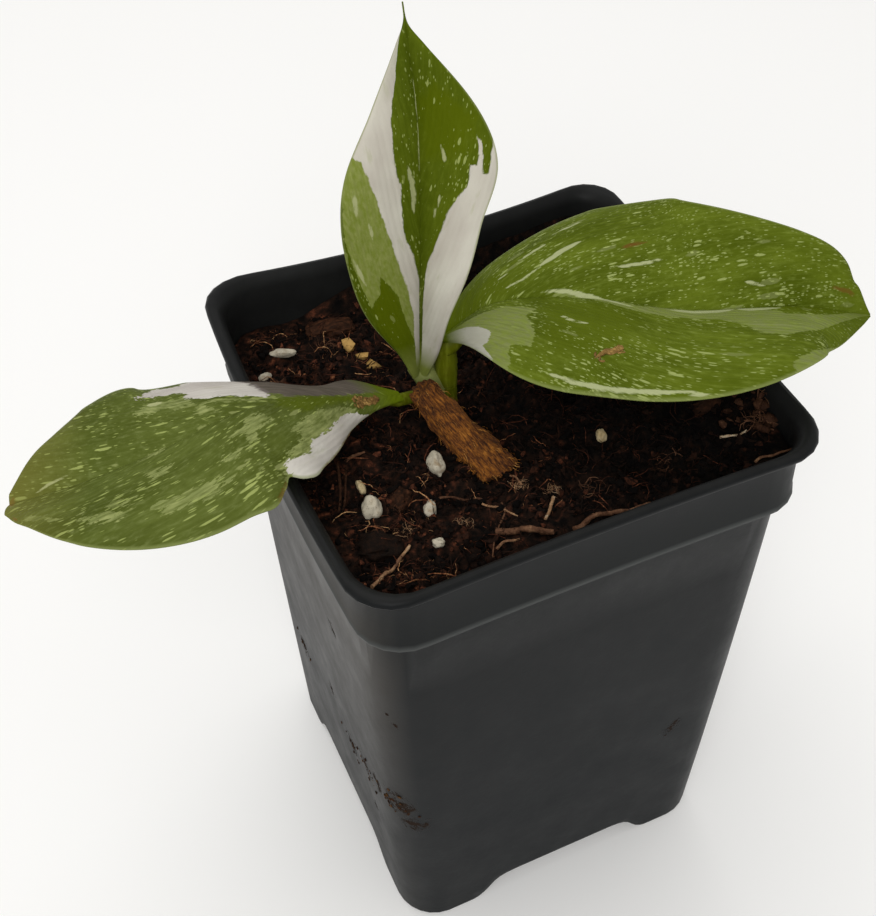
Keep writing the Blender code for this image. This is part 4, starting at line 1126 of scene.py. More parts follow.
LEAVES = {
    "leaf_right": {
        "petiole": ((-8.1, 6.2, 118.9), (-8.1, 6.2, 124.0), (-8.4, 6.3, 128.2)),
        "midrib": ((-8.7, 6.4, 129.6), (0.5, 2.8, 137.0), (14.3, -5.1, 138.9),
                   (29.4, -14.0, 137.6), (49.7, -17.9, 134.1), (61.2, -24.1, 132.7)),
        "left": (1.8, 7.4, 14.0, 21.9, 23.8, 21.2, 14.6, 9.0, 5.4, 0.4),
        "right": (1.8, 7.1, 16.9, 23.3, 24.4, 21.6, 15.0, 9.2, 5.0, 0.4),
        "roll": (-6, 2, 8, 13, 12),
        "lift_left": (1, -4, 5, 21, 20),
        "lift_right": (13, 4, 9, 21, 19),
        "facing": (0.0, 0.0, 1.0),
        "camber": 0.10,
        "pale_stalk": 0.0,
        "petiole_radius": 2.1,
        "vein_lines": {"left": (45.0, 0.3, -0.04), "right": (10.0, 0.3, 0.3)},
        "greens": ("#47530C", "#5A6718", "#788538"),
        "bites": (("left", 0.944, 0.014, 0.13),),
        "mottle": 0.65,
        "ragged": 0.9,
        # Its white and sage are greyer than the other leaves': partly its own tone, partly painted
        # shade
        "tones": {"white": "#B5B3A6", "white_shade": "#A19F90", "sage": "#7D8450",
                  "sage_shade": "#6E7642", "speck": "#A0AA68", "streak": "#A5AA7E",
                  "dark": "#4F5B0C"},
        "specks": (0.8, 0.3),
        "drawn_out": 1.1,
        "broken": 0.25,
        "blotches": 0.32,
        "white": (
            ((0.05, -0.5), (0.1, -0.52), (0.16, -0.55), (0.2, -0.63), (0.19, -0.75),
             (0.17, -0.88), (0.2, -0.97), (0.17, -1.1), (0.02, -1.1), (0.02, -0.6)),
        ),
        "sage": (
            ((0.02, -0.5), (0.06, -0.36), (0.15, -0.28), (0.22, -0.18), (0.26, -0.19),
             (0.295, -0.24), (0.275, -0.34), (0.29, -0.45), (0.3, -0.58), (0.29, -0.7),
             (0.25, -0.72), (0.24, -0.82), (0.25, -0.9), (0.22, -1.1), (0.1, -1.1)),
            ((0.3, 0.05), (0.34, 0.07), (0.38, 0.05), (0.42, 0.01), (0.5, -0.05), (0.55, 0.0),
             (0.65, 0.0), (0.68, 0.03), (0.71, 0.0), (0.73, -0.12), (0.75, -0.22), (0.78, -0.28),
             (0.83, -0.29), (0.9, -0.24), (0.96, -0.05), (1.0, 0.1), (1.0, -0.3), (0.95, -0.42),
             (0.9, -0.5), (0.84, -0.6), (0.8, -0.63), (0.76, -0.6), (0.71, -0.58), (0.67, -0.48),
             (0.66, -0.33), (0.63, -0.2), (0.58, -0.17), (0.52, -0.15), (0.48, -0.12),
             (0.43, -0.05), (0.38, 0.0), (0.33, 0.02)),
            ((0.69, -0.88), (0.74, -0.87), (0.8, -0.94), (0.88, -1.0), (0.94, -1.1), (0.69, -1.1)),
        ),
        "streaks": (
            (((0.21, 0.14), (0.26, 0.22), (0.3, 0.34)), 0.22),
            (((0.29, 0.32), (0.34, 0.46), (0.38, 0.53)), 0.5),
            (((0.44, 0.25), (0.5, 0.31), (0.545, 0.37)), 0.28),
            (((0.31, -0.88), (0.37, -0.92), (0.45, -0.945), (0.53, -0.935), (0.58, -0.93)), 0.42),
            (((0.3, 0.06), (0.35, 0.055), (0.42, 0.0), (0.5, -0.09)), 0.4),
            (((0.34, -0.3), (0.37, -0.36), (0.4, -0.38)), 0.3),
            (((0.545, -0.92), (0.6, -0.99)), 0.28),
            (((0.55, -0.03), (0.6, -0.06), (0.65, -0.05), (0.68, -0.02)), 0.55),
            (((0.68, -0.02), (0.7, -0.06), (0.76, -0.08)), 0.7),
            (((0.7, 0.22), (0.735, 0.19)), 0.3),
            (((0.25, 0.52), (0.31, 0.63)), 0.3),
            (((0.31, 0.73), (0.375, 0.81)), 0.3),
            (((0.2, 0.33), (0.23, 0.39)), 0.25),
        ),
        "dark": (
            ((0.74, -0.02), (0.95, -0.02), (0.92, -0.18), (0.83, -0.24), (0.77, -0.2)),
            ((0.31, -0.1), (0.45, -0.12), (0.5, -0.3), (0.46, -0.6), (0.34, -0.75), (0.31, -0.5)),
            ((0.0, 0.0), (0.24, 0.08), (0.22, 0.4), (0.1, 0.6), (0.0, 0.6)),
        ),
        "brown": (
            (((0.875, 0.3), (0.905, 0.33), (0.93, 0.4), (0.945, 0.55)), 0.6),
            (((0.45, 0.42), (0.475, 0.465), (0.5, 0.5)), 0.35),
        ),
        "dull": (),
    },
    "leaf_left": {
        "petiole": ((-9.2, 6.9, 113.5), (-11.6, 7.4, 114.2), (-15.0, 6.8, 117.3)),
        "midrib": ((-17.9, 5.1, 120.2), (-28.8, 3.6, 125.4), (-39.0, 0.1, 132.1),
                   (-50.7, -3.5, 136.4), (-63.6, -5.8, 135.8), (-76.6, -3.1, 131.4),
                   (-88.2, 2.2, 126.6)),
        "left": (1.6, 2.8, 6.9, 13.5, 17.2, 20.2, 15.4, 7.8, 5.6, 2.6),
        "right": (1.6, 6.5, 4.8, 8.8, 15.2, 17.0, 16.9, 11.8, 8.4, 2.0),
        "roll": (-4, -6, 2, 1, 0),
        "lift_left": (-18, -16, -9, 2, 13),
        "lift_right": (-20, -14, -11, 3, 15),
        "facing": (0.0, 0.0, 1.0),
        "camber": 0.08,
        "pale_stalk": 0.0,
        "petiole_radius": 1.2,
        "vein_lines": {"left": (20.0, 0.35, 0.1), "right": (20.0, 0.35, 0.1)},
        # Greens greyer than the other leaves': partly its own bluish tone, partly a painted sheen
        "greens": ("#48511C", "#59632A", "#757E48"),
        "bites": (("left", 0.488, 0.016, 0.08), ("left", 0.43, 0.03, -0.05),
                  ("left", 0.56, 0.03, -0.08)),
        "mottle": 0.8,
        "ragged": 2.3,
        "tones": {"white": "#CFCBC1", "white_shade": "#B5ADA5", "sage": "#9AA065",
                  "sage_shade": "#848B52", "tip": "#7E7838"},
        "specks": (0.55, 0.33),
        "drawn_out": 1.9,
        "broken": 0.8,
        "blotches": 0.3,
        "white": (
            ((0.1, 1.1), (0.14, 0.85), (0.17, 0.68), (0.2, 0.58), (0.25, 0.62), (0.31, 0.68),
             (0.38, 0.69), (0.42, 0.78), (0.47, 0.8), (0.485, 0.88), (0.485, 1.1)),
            ((0.4, -0.16), (0.46, -0.29), (0.51, -0.38), (0.54, -0.45), (0.55, -0.5),
             (0.54, -0.58), (0.56, -0.66), (0.6, -0.71), (0.68, -0.74), (0.7, -0.75),
             (0.66, -0.78), (0.62, -0.85), (0.58, -0.92), (0.53, -0.85), (0.5, -0.93),
             (0.48, -1.1), (0.38, -1.1), (0.38, -0.2)),
        ),
        "sage": (
            ((0.16, 0.7), (0.18, 0.42), (0.24, 0.36), (0.32, 0.34), (0.37, 0.4), (0.42, 0.48),
             (0.4, 0.6), (0.46, 0.7), (0.49, 0.85), (0.5, 1.1), (0.3, 0.9)),
            ((0.44, 0.27), (0.465, 0.29), (0.49, 0.4), (0.5, 0.46), (0.53, 0.47), (0.51, 0.34),
             (0.545, 0.28), (0.5, 0.24), (0.485, 0.14), (0.45, 0.13)),
            ((0.59, 0.62), (0.63, 0.73), (0.69, 0.72), (0.7, 0.62), (0.65, 0.58)),
            ((0.55, 0.43), (0.56, 0.5), (0.59, 0.49), (0.58, 0.42)),
            ((0.66, 0.25), (0.67, 0.33), (0.69, 0.35), (0.7, 0.24)),
            ((0.73, 0.62), (0.75, 0.72), (0.82, 0.7), (0.81, 0.63)),
            ((0.72, 0.5), (0.73, 0.56), (0.76, 0.56), (0.76, 0.5)),
            ((0.66, -0.02), (0.68, 0.06), (0.7, 0.03), (0.69, -0.02)),
            ((0.85, 0.72), (0.9, 0.8), (0.96, 0.98), (0.93, 0.76), (0.88, 0.68)),
            ((0.52, -0.14), (0.56, -0.16), (0.55, -0.28), (0.53, -0.26)),
            ((0.55, -0.33), (0.6, -0.42), (0.66, -0.46), (0.7, -0.5), (0.66, -0.6),
             (0.62, -0.61), (0.58, -0.56), (0.55, -0.5)),
            ((0.36, -0.1), (0.44, -0.2), (0.52, -0.34), (0.54, -0.3), (0.46, -0.18), (0.4, -0.08)),
        ),
        "streaks": (
            (((0.86, -0.13), (0.9, -0.12), (0.94, -0.06)), 0.25),
            (((0.6, -0.57), (0.65, -0.59)), 0.5),
        ),
        "dark": (
            ((0.14, 0.02), (0.38, -0.05), (0.4, 0.1), (0.34, 0.28), (0.24, 0.28), (0.15, 0.24)),
        ),
        "brown": (
            (((0.985, 0.4), (0.996, 0.0), (0.992, -0.3)), 0.6),
            (((0.95, 0.95), (0.965, 0.85)), 0.6),
            (((0.1, 0.3), (0.13, 0.6)), 1.0),
            (((0.5, 0.98), (0.56, 0.99)), 0.35),
            (((0.2, 1.0), (0.3, 0.99), (0.42, 1.0)), 0.25),
        ),
        # Dull: the folded-back half by the stalk, dirty white under painted shade
        "dull": (
            ((0.06, -0.1), (0.2, -0.06), (0.34, -0.08), (0.39, -0.22), (0.4, -1.1), (0.06, -1.1)),
        ),
    },
    "leaf_upright": {
        "petiole": ((-9.6, 6.5, 117.3), (-10.4, 6.7, 119.0), (-11.7, 7.0, 120.6)),
        "midrib": ((-13.0, 7.1, 122.2), (-12.5, 7.1, 140.1), (-11.9, 7.2, 158.0),
                   (-12.1, 7.0, 176.2), (-14.1, 6.4, 195.4)),
        "left": (1.8, 4.2, 9.1, 12.4, 13.7, 12.6, 7.3, 1.9, 0.2, 0.08),
        "right": (1.8, 4.0, 6.8, 9.8, 10.9, 12.7, 8.6, 2.6, 0.25, 0.08),
        "roll": (4, -13, -3, 5, -7),
        "lift_left": (41, 29, 23, 21, 27),
        "lift_right": (37, 37, 23, 17, 31),
        "facing": (-0.4, -0.916, 0.0),
        "camber": 0.10,
        "pale_stalk": 0.7,
        "petiole_radius": 2.3,
        "vein_lines": {"left": (12.0, 0.4, 0.05), "right": (12.0, 0.4, 0.1)},
        "greens": ("#47540A", "#536010", "#6E7C26"),
        "bites": (),
        "mottle": 0.4,
        "ragged": 0.5,
        "tones": {"base": "#77803A"},
        "specks": (0.62, 0.3),
        "drawn_out": 1.2,
        "broken": 0.0,
        "blotches": 0.1,
        "white": (
            ((0.02, 0.1), (0.1, 0.02), (0.2, 0.0), (0.27, 0.01), (0.33, 0.05), (0.38, 0.1),
             (0.42, 0.17), (0.46, 0.22), (0.52, 0.24), (0.59, 0.25), (0.63, 0.33), (0.68, 0.38),
             (0.73, 0.45), (0.77, 0.53), (0.81, 0.57), (0.85, 0.59), (0.9, 0.72), (0.96, 0.98),
             (0.9, 1.2), (0.71, 1.2), (0.68, 0.84), (0.64, 0.7), (0.58, 0.56), (0.5, 0.45),
             (0.4, 0.33), (0.3, 0.2), (0.2, 0.13), (0.1, 0.22), (0.02, 0.4)),
            ((0.0, -0.2), (0.16, -0.2), (0.3, -0.18), (0.37, -0.2), (0.42, -0.3), (0.47, -0.38),
             (0.53, -0.45), (0.57, -0.55), (0.6, -0.63), (0.65, -0.65), (0.65, -0.74),
             (0.72, -0.81), (0.7, -0.84), (0.63, -0.79), (0.63, -0.87), (0.68, -0.93),
             (0.74, -1.1), (0.0, -1.1)),
        ),
        "sage": (
            ((0.1, 0.0), (0.12, 0.2), (0.18, 0.28), (0.27, 0.33), (0.31, 0.44), (0.34, 0.55),
             (0.29, 0.6), (0.27, 0.7), (0.25, 0.8), (0.31, 0.84), (0.38, 0.9), (0.46, 0.97),
             (0.56, 0.96), (0.66, 1.1), (0.71, 1.1), (0.68, 0.8), (0.6, 0.5), (0.5, 0.35),
             (0.4, 0.25), (0.3, 0.1), (0.2, 0.0)),
        ),
        "streaks": (
            (((0.5, 0.09), (0.55, 0.1), (0.59, 0.12), (0.64, 0.18)), 0.32),
            (((0.6, 0.02), (0.72, 0.01), (0.84, 0.04)), 0.16),
            (((0.53, 0.79), (0.57, 0.82), (0.61, 0.86)), 0.3),
            (((0.455, 0.6), (0.485, 0.62), (0.515, 0.65)), 0.18),
            (((0.31, 0.77), (0.36, 0.83), (0.405, 0.89)), 0.3),
            (((0.53, -0.3), (0.57, -0.3)), 0.2), (((0.65, -0.33), (0.69, -0.3)), 0.25),
            (((0.5, -0.25), (0.53, -0.26)), 0.14),
            (((0.83, 0.0), (0.86, 0.0)), 0.35),
        ),
        "dark": (
            ((0.05, 0.3), (0.14, 0.25), (0.27, 0.33), (0.34, 0.55), (0.27, 0.7), (0.24, 0.82),
             (0.15, 0.9), (0.06, 0.7)),
            ((0.64, -0.04), (0.8, -0.04), (0.84, -0.5), (0.76, -0.9), (0.68, -0.6)),
        ),
        "brown": (),
        "dull": (),
    },
}
# Noise drawn out along the veins: its run and line in millimetres, its detail and its place
VEIN_NOISES = {
    "wander": (2.8, 0.9, 5.0, 3.0), "tear": (1.0, 0.36, 3.0, 53.0), "cloud": (14.0, 6.0, 2.0, 5.0),
    "threads": (4.5, 0.4, 3.0, 7.0), "density": (13.0, 8.0, 1.0, 23.0),
    "gaps": (4.5, 0.8, 4.0, 83.0), "mottle": (1.5, 0.8, 5.0, 61.0), "chalk": (7.0, 1.6, 3.0, 41.0),
}
# dull and dull_light: dirty white under painted shade, on the left leaf's folded-back half
LEAF_COLOURS = {
    "white": "#CECABC", "white_shade": "#BBB4A8", "sage": "#8B9350", "sage_shade": "#7C8444",
    "speck": "#A2AC64", "dark": "#525E04", "brown": "#64481C", "dull": "#4B433E",
    "dull_light": "#6A5F59", "base": "#5A680E", "margin": "#7F8850",
    "tip": "#4E5A10", "streak": "#A9AC7C",
}


def leaf_frame(leaf, position):
    """The midrib point, its side direction and its facing direction at one station."""
    point = mm(*along(leaf["midrib"], position))
    before = mm(*along(leaf["midrib"], max(position - FRAME_STEP, 0.0)))
    after = mm(*along(leaf["midrib"], min(position + FRAME_STEP, 1.0)))
    tangent = (after - before).normalized()
    up = Vector(leaf["facing"]).normalized()
    up = (up - tangent * up.dot(tangent)).normalized()
    roll = math.radians(along(leaf["roll"], position))
    side = up.cross(tangent)
    turned = side * math.cos(roll) + up * math.sin(roll)
    return point, turned, up * math.cos(roll) - side * math.sin(roll)


def midrib_length(leaf):
    """How long the midrib is, in metres."""
    points = [mm(*along(leaf["midrib"], step / MIDRIB_STEPS)) for step in range(MIDRIB_STEPS + 1)]
    return sum((b - a).length for a, b in zip(points, points[1:]))


def blade_rows(leaf, length):
    """Rows of points over the blade, each with its place: along, across, run and vein line."""
    shares = [(column / HALF_COLUMNS) ** COLUMN_CROWDING for column in range(HALF_COLUMNS + 1)]
    columns = [-share for share in reversed(shares)] + shares[1:]
    rows = []
    places = []
    for row in range(BLADE_ROWS + 1):
        position = row / BLADE_ROWS
        run = position * length
        point, side, up = leaf_frame(leaf, position)
        halves = {}
        for name, sign in (("left", 1), ("right", -1)):
            width = through(WIDTH_STATIONS, leaf[name], position) * MM
            for half_name, place, reach, depth in leaf["bites"]:
                if half_name == name:
                    width *= 1 - depth * math.exp(-((position - place) / reach) ** 2)
            lift = math.radians(along(leaf["lift_" + name], position))
            reach, curve, slope = leaf["vein_lines"][name]
            start = reach * MM * (1 - math.exp(-position / curve)) + slope * run
            halves[sign] = (width, side * math.cos(lift) * sign + up * math.sin(lift), start)
        line = []
        for across in columns:
            sign = 1 if across >= 0 else -1
            width, outward, start = halves[sign]
            share = abs(across)
            out = width * share
            bow = leaf["camber"] * width * 4 * share * (1 - share)
            wave = math.sin(2 * math.pi * RIPPLES * position + 2 * across)
            ripple = MARGIN_RIPPLE * share**2 * wave
            groove = GROOVE_DEPTH * math.exp(-(out / GROOVE_HALF) ** 2) * (1 - position) ** 0.5
            pleat = math.sin(2 * math.pi * (out - start) / PLEAT_SPACING)
            pleat *= PLEAT * 4 * share * (1 - share)
            line.append(point + outward * out + up * (bow + ripple - groove + pleat))
            places.append((position, across, run, sign * (out - start)))
        rows.append(line)
    return rows, np.array(places)


def off_line(points, start, end):
    """Distances from points to a straight stretch, and how far along it the nearest place is."""
    stretch = end - start
    share = np.clip((points - start) @ stretch / max(stretch @ stretch, 1e-12), 0, 1)
    return np.linalg.norm(points - start - share[:, None] * stretch, axis=1), share


def inside_by(points, corners):
    """How far points lie inside an outline, negative outside."""
    inside = np.zeros(len(points), bool)
    nearest = np.full(len(points), 1e9)
    for start, end in zip(corners, np.roll(corners, -1, axis=0)):
        nearest = np.minimum(nearest, off_line(points, start, end)[0])
        spans = (start[1] > points[:, 1]) != (end[1] > points[:, 1])
        rise = end[1] - start[1] if abs(end[1] - start[1]) > 1e-12 else 1e-12
        crossing = start[0] + (points[:, 1] - start[1]) * (end[0] - start[0]) / rise
        inside ^= spans & (points[:, 0] < crossing)
    return np.where(inside, nearest, -nearest)


def patch_depth(points, scale, patches=(), streaks=()):
    """How deep each point lies in any of the patches and streaks, in millimetres."""
    depth = np.full(len(points), -DEEPEST)
    for corners in patches:
        depth = np.maximum(depth, inside_by(points, np.asarray(corners) * scale))
    for stops, half in streaks:
        stops = np.asarray(stops) * scale
        for number, (start, end) in enumerate(zip(stops, stops[1:])):
            away, share = off_line(points, start, end)
            middle_off = abs(2 * (number + share) / (len(stops) - 1) - 1)
            depth = np.maximum(depth, half * (1.15 - 1.1 * middle_off**3) - away)
    return np.clip(depth, -DEEPEST, DEEPEST)


def add_patch_layers(mesh, leaf, places, length):
    """Store how deep each point lies in every marking, and its place among the veins."""
    scale = np.array([length / MM, 0.5 * (max(leaf["left"]) + max(leaf["right"]))])
    points = places[:, :2] * scale
    layers = {}
    for name in ("white", "sage", "dark", "dull"):
        layers[name] = patch_depth(points, scale, leaf[name])
    for name in ("streaks", "brown"):
        layers[name] = patch_depth(points, scale, streaks=leaf[name])
    layers["along"] = places[:, 0]
    layers["across"] = np.abs(places[:, 1])
    for name, values in layers.items():
        layer = mesh.attributes.new(name, "FLOAT", "POINT")
        layer.data.foreach_set("value", values.astype(np.float32))
    corners = np.zeros(len(mesh.loops), np.int32)
    mesh.loops.foreach_get("vertex_index", corners)
    veins = mesh.uv_layers.new(name="veins")
    veins.uv.foreach_set("vector", (places[corners][:, 2:] / MM).astype(np.float32).ravel())


def vein_place(tree, run, line, shift):
    """The place among the veins, in steps of a run along and a line across, in millimetres."""
    veins = add_node(tree, "UVMap", uv_map="veins").outputs[0]
    return add_node(tree, "Mapping", {"Vector": veins, "Scale": (1 / run, 1 / line, 1),
                                      "Location": (shift, shift, shift)}).outputs[0]


def leaf_material(name, leaf, underside=False):
    """Living leaf: a waxy skin over green cells, marked along its veins in millimetre scale."""
    finish, tree = new_material(name)
    green_dark, green, green_light = leaf["greens"]
    tones = {**LEAF_COLOURS, **leaf["tones"]}
    streaky = {}
    for key, (run, line, detail, shift) in VEIN_NOISES.items():
        streaky[key] = add_node(tree, "TexNoise", {
            "Vector": vein_place(tree, run, line, shift), "Scale": 1.0, "Detail": detail,
            "Roughness": 0.6}).outputs["Fac"]
    threads, mottle, cloud = streaky["threads"], streaky["mottle"], streaky["cloud"]

    # How deep each point lies in each marking, with the outline torn by the jagged noise
    jagged = add_node(tree, "Math", {0: streaky["wander"], 1: 0.85, 2: -0.15},
                      operation="MULTIPLY_ADD").outputs[0]
    jagged = add_node(tree, "Math", {0: streaky["tear"], 1: 0.45, 2: jagged},
                      operation="MULTIPLY_ADD").outputs[0]
    ragged = leaf["ragged"]
    depth = {}
    for key, reach in (("white", ragged), ("sage", 1.3 * ragged), ("dull", ragged),
                       ("dark", 3.0), ("brown", 0.8), ("streaks", 0.45)):
        layer = add_node(tree, "Attribute", attribute_name=key).outputs["Fac"]
        shift = add_node(tree, "Math", {0: jagged, 1: 2 * reach, 2: -reach},
                         operation="MULTIPLY_ADD").outputs[0]
        depth[key] = add_node(tree, "Math", {0: layer, 1: shift}, operation="ADD").outputs[0]
    solid = add_node(tree, "MapRange", {
        "Value": streaky["gaps"], "From Min": 0.36, "From Max": 0.56,
        "To Min": 1 - leaf["broken"], "To Max": 1.0}).outputs[0]

    # Specks: dashes drawn out along the veins, one in some cells, each of its own size
    calm = add_node(tree, "MapRange", {"Value": depth["dark"], "From Min": -1.2, "From Max": 1.2,
                                       "To Max": 0.14}).outputs[0]
    crowd = add_node(tree, "Math", {0: streaky["density"], 1: 1.4, 2: -0.7},
                     operation="MULTIPLY_ADD").outputs[0]
    crowd = add_node(tree, "Math", {0: crowd, 1: calm}, operation="SUBTRACT").outputs[0]
    torn = add_node(tree, "Math", {0: jagged, 1: 0.5, 2: -0.25},
                    operation="MULTIPLY_ADD").outputs[0]
    share, size = leaf["specks"]
    drawn = leaf["drawn_out"]
    specks = []
    for run, line, widest, often, shift, most, tone in (
        (5.0, 1.7, 0.34, leaf["blotches"], 31.0, 0.5, "sage"),
        (2.7 * drawn, 0.85, size, share, 11.0, 0.7, "speck"),
        (1.15 * drawn, 0.42, 1.1 * size, share, 17.0, 0.65, "speck"),
        (0.8 * drawn, 0.34, 1.2 * size, 0.8 * share, 71.0, 0.6, "speck"),
    ):
        cells = add_node(tree, "TexVoronoi", {"Vector": vein_place(tree, run, line, shift),
                                              "Scale": 1.0})
        chance = add_node(tree, "SeparateColor", {0: cells.outputs["Color"]}).outputs[0]
        chance = add_node(tree, "Math", {0: chance, 1: crowd}, operation="ADD").outputs[0]
        radius = add_node(tree, "MapRange", {"Value": chance, "From Min": 1 - often,
                                             "To Max": widest}).outputs[0]
        away = add_node(tree, "Math", {0: cells.outputs["Distance"], 1: torn}, operation="ADD")
        within = add_node(tree, "Math", {0: radius, 1: away.outputs[0]}, operation="SUBTRACT")
        specks.append((within.outputs[0], 0.0, 0.07, most, tones[tone]))

    faded = painted(tree, tones["sage_shade"], (threads, 0.35, 0.65, 1.0, tones["sage"]),
                    (mottle, 0.6, 0.38, 0.6 + 0.3 * leaf["mottle"], green_light))
    chalk = painted(tree, tones["white"], (cloud, 0.3, 0.7, 1.0, tones["white_shade"]),
                    (streaky["chalk"], 0.6, 0.8, 0.4, tones["sage"]))
    # The folded-back half by the left leaf's stalk: dirty white under painted shade
    shaded_dirty_white = painted(tree, tones["dull"], (threads, 0.3, 0.7, 1.0, tones["dull_light"]))
    position = add_node(tree, "Attribute", attribute_name="along").outputs["Fac"]
    across = add_node(tree, "Attribute", attribute_name="across").outputs["Fac"]
    colour = painted(
        tree, green_dark,
        (cloud, 0.35, 0.65, 1.0, green),
        (threads, 0.5, 0.78, 0.35, green_light),
        (mottle, 0.52, 0.8, leaf["mottle"], green_light),
        (mottle, 0.48, 0.25, leaf["mottle"], green_dark),
        (depth["dark"], -1.2, 1.2, 0.7, tones["dark"]),
        *specks,
        (depth["sage"], -0.1, 0.1, solid, faded),
        (depth["streaks"], -0.1, 0.1, 0.9, tones["streak"]),
        (depth["white"], -0.1, 0.1, 1.0, chalk),
        (depth["dull"], -0.4, 0.4, 0.9, shaded_dirty_white),
        (across, 0.965, 0.99, 0.6, tones["margin"]),
        (depth["brown"], -0.25, 0.35, 1.0, tones["brown"]),
        (position, 0.12, 0.03, 1.0, tones["base"]),
        (position, 0.8, 1.0, 0.5, tones["tip"]),
    )
    if underside:
        colour = painted(tree, colour, (0.35, 0.0, 1.0, 1.0, tones["sage"]))

    # The finest veins stand 1 mm apart, somewhat coarser than real ones, so that they show
    fine = add_node(tree, "TexWave", {
        "Vector": vein_place(tree, 5.0, 1.0, 0.0), "Scale": 0.32, "Distortion": 2.0, "Detail": 2.0,
        "Detail Scale": 0.6}, wave_type="BANDS", bands_direction="Y").outputs["Fac"]
    rough = add_node(tree, "MapRange", {
        "Value": threads, "From Min": 0.2, "From Max": 0.8, "To Min": 0.5 if underside else 0.38,
        "To Max": 0.62 if underside else 0.5}).outputs[0]
    relief = None
    for height, strength, rise in ((fine, 0.3, 0.12), (mottle, 0.6 * leaf["mottle"], 0.3),
                                   (threads, 0.3, 0.08)):
        sockets = {"Height": height, "Strength": strength, "Distance": rise * MM}
        if relief is not None:
            sockets["Normal"] = relief
        relief = add_node(tree, "Bump", sockets).outputs[0]
    shader = add_node(tree, "BsdfPrincipled", {
        "Base Color": colour, "Roughness": rough, "IOR": 1.42, "Specular IOR Level": 0.02,
        "Normal": relief})
    add_node(tree, "OutputMaterial", {"Surface": shader.outputs[0]})
    return finish


blades = {}
for name, leaf in LEAVES.items():
    length = midrib_length(leaf)
    rows, places = blade_rows(leaf, length)
    sheet = draped_grid(rows)
    bmesh.ops.reverse_faces(sheet, faces=sheet.faces)
    mesh = to_mesh(name, sheet)
    add_patch_layers(mesh, leaf, places, length)
    upper = leaf_material(name + "_upper_skin", leaf)
    under = leaf_material(name + "_under_skin", leaf, underside=True)
    blade = bpy.data.objects.new(name + "_sheet", mesh)
    scene.collection.objects.link(blade)
    thick = blade.vertex_groups.new(name="thick")
    for index, (position, across, _, _) in enumerate(places):
        thin = max(0.0, (abs(across) - THIN_MARGIN) / (1 - THIN_MARGIN))
        thread = max(0.0, (position - THREAD_START) / (1 - THREAD_START))
        thick.add([index], (1 - 0.7 * thin) * (1 - 0.75 * thread), "REPLACE")
    for finish in (upper, under, stalk_skin):
        mesh.materials.append(finish)
    shell = blade.modifiers.new("thickness", "SOLIDIFY")
    shell.thickness = BLADE_THICKNESS
    shell.offset = 0.0
    shell.vertex_group = "thick"
    shell.material_offset = 1
    solid = finished_mesh(blade)
    bpy.data.objects.remove(blade)

    stalk_radius = leaf["petiole_radius"] * MM
    path = [mm(*along(leaf["petiole"], step / PETIOLE_STEPS)) for step in range(PETIOLE_STEPS)]
    radii = [stalk_radius] * len(path)
    for step in range(RIB_STEPS + 1):
        share = step / RIB_STEPS
        point, _, up = leaf_frame(leaf, RIB_END * share)
        radius = RIB_RADIUS + (stalk_radius - RIB_RADIUS) * (1 - share) ** RIB_TAPER
        path.append(point - up * (RIB_SINK + 0.6 * (radius - RIB_RADIUS)))
        radii.append(radius)
    stalk = tube_mesh(name + "_stalk", path, radii, 20, 0.05, 1.5 * MM)
    stalk.materials.append(stalk_skin)
    paleness = stalk.attributes.new("pale", "FLOAT", "POINT")
    paleness.data.foreach_set("value", [leaf["pale_stalk"]] * len(stalk.vertices))
    for face in stalk.polygons:
        face.material_index = 2
    bm = bmesh.new()
    bm.from_mesh(solid)
    bm.from_mesh(stalk)
    piece = add_piece(name + "_blade", to_mesh(name, bm, 60), upper, under, stalk_skin)
    blades[name] = piece
    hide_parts(name)

# Dirt on the plant and pot: a few crumbs of potting mix that fell while it was potted. They
# lie on the right leaf and by the fold of the left one, and stick to the pot's left wall.
LEAF_DIRT = (
    ("leaf_right", (8.8, -21.3, 143.5), 2.4, 8, 0.9),
    ("leaf_left", (-24.2, 2.2, 126.0), 3.0, 90, 0.9),
)
LONG_PLACE = (8.8, -21.3, 143.5)
LONG_CRUMBS = ((-1.0, 0.1, 3.4, 1.2), (0.8, -0.15, 3.6, 1.5), (1.9, 0.3, 2.0, 1.6))
WALL_DIRT = (((-38.9, -34.0, 51.0), 6.0, 34), ((-39.4, -20.0, 43.5), 5.0, 16),
             ((-39.2, -9.0, 39.0), 4.0, 8), ((-39.0, 19.5, 35.4), 3.5, 9))
# Soft rotten bits of light wood, each a place, its size and its shade
PALE_BITS = (((-20.4, 27.0), 3.3, 1.0), ((-18.5, 24.9), 2.6, 1.0), ((-17.0, 22.6), 3.2, 0.95))
DIRT_STOPS = ((0.0, "#1A0F08"), (0.3, "#3A2414"), (0.6, "#5C4023"), (0.85, "#7E6236"),
              (1.0, "#AE8A50"))
draw = random.Random(SEED + 9)
bm = bmesh.new()
bpy.context.view_layer.update()


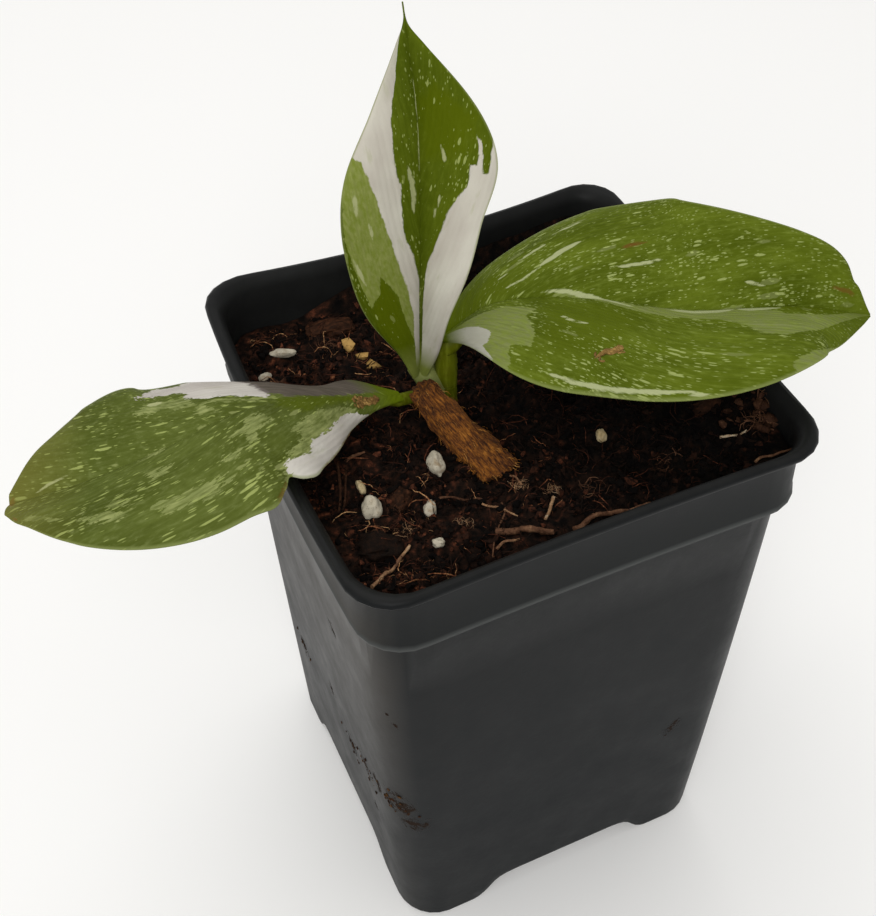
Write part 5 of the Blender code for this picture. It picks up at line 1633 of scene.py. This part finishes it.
def lay_crumb(piece, point, turned, sizes, shade):
    """Lay one crumb flat on a piece, at the place of its skin that is nearest to a point."""
    _, spot, normal, _ = piece.closest_point_on_mesh(point)
    tilt = Vector((0, 0, 1)).rotation_difference(normal).to_matrix().to_4x4()
    flat = Matrix.Diagonal((*(size * MM for size in sizes), 1.0))
    place = Matrix.Translation(spot + normal * 0.25 * sizes[2] * MM) @ tilt
    add_copy(bm, draw.choice(crumbs), place @ Matrix.Rotation(turned, 4, "Z") @ flat, shade)


for name, spot, reach, count, shade in LEAF_DIRT:
    for _ in range(count):
        point = mm(*spot) + mm(draw.uniform(-1, 1) * reach, draw.uniform(-0.5, 0.5) * reach, 0)
        size = draw.uniform(0.35, 1.1)
        lay_crumb(blades[name], point, draw.uniform(0, math.pi),
                  (1.3 * size, 0.8 * size, 0.5 * size), shade - 0.25 * draw.random())
for shift, turned, length, broad in LONG_CRUMBS:
    x, y, z = LONG_PLACE
    lay_crumb(blades["leaf_right"], mm(x + shift, y - 0.1 * shift, z), turned,
              (length, broad, 1.2), draw.uniform(0.84, 0.92))
for spot, reach, count in WALL_DIRT:
    for _ in range(count):
        point = mm(*spot) + mm(0, draw.gauss(0, 0.5) * reach, draw.gauss(0, 0.4) * reach)
        size = draw.uniform(0.3, 1.1)
        lay_crumb(pot, point, draw.uniform(0, math.pi), (size, size, 0.5 * size),
                  draw.uniform(0.1, 0.55))
for (x, y), size, shade in PALE_BITS:
    spot = soil_point(x * MM, y * MM, 0.7 * MM)
    turn = Matrix.Rotation(draw.uniform(0, 2 * math.pi), 4, "Z")
    place = Matrix.Translation(spot) @ turn @ Matrix.Scale(size * MM, 4)
    add_copy(bm, draw.choice(crumbs), place, shade)

# Dried dirt: dusty tan and brown, lighter than the moist mix
dust = soil_colours("dried_dirt", DIRT_STOPS, 0.9)
dirt = add_piece("fallen_crumbs", to_mesh("fallen_crumbs", bm), dust)

for template in crumbs + shreds + fibres:
    bpy.data.meshes.remove(template)
size = {"cad": [list(cad_low), list(cad_high)], "visual": [list(corner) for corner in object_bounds()]}
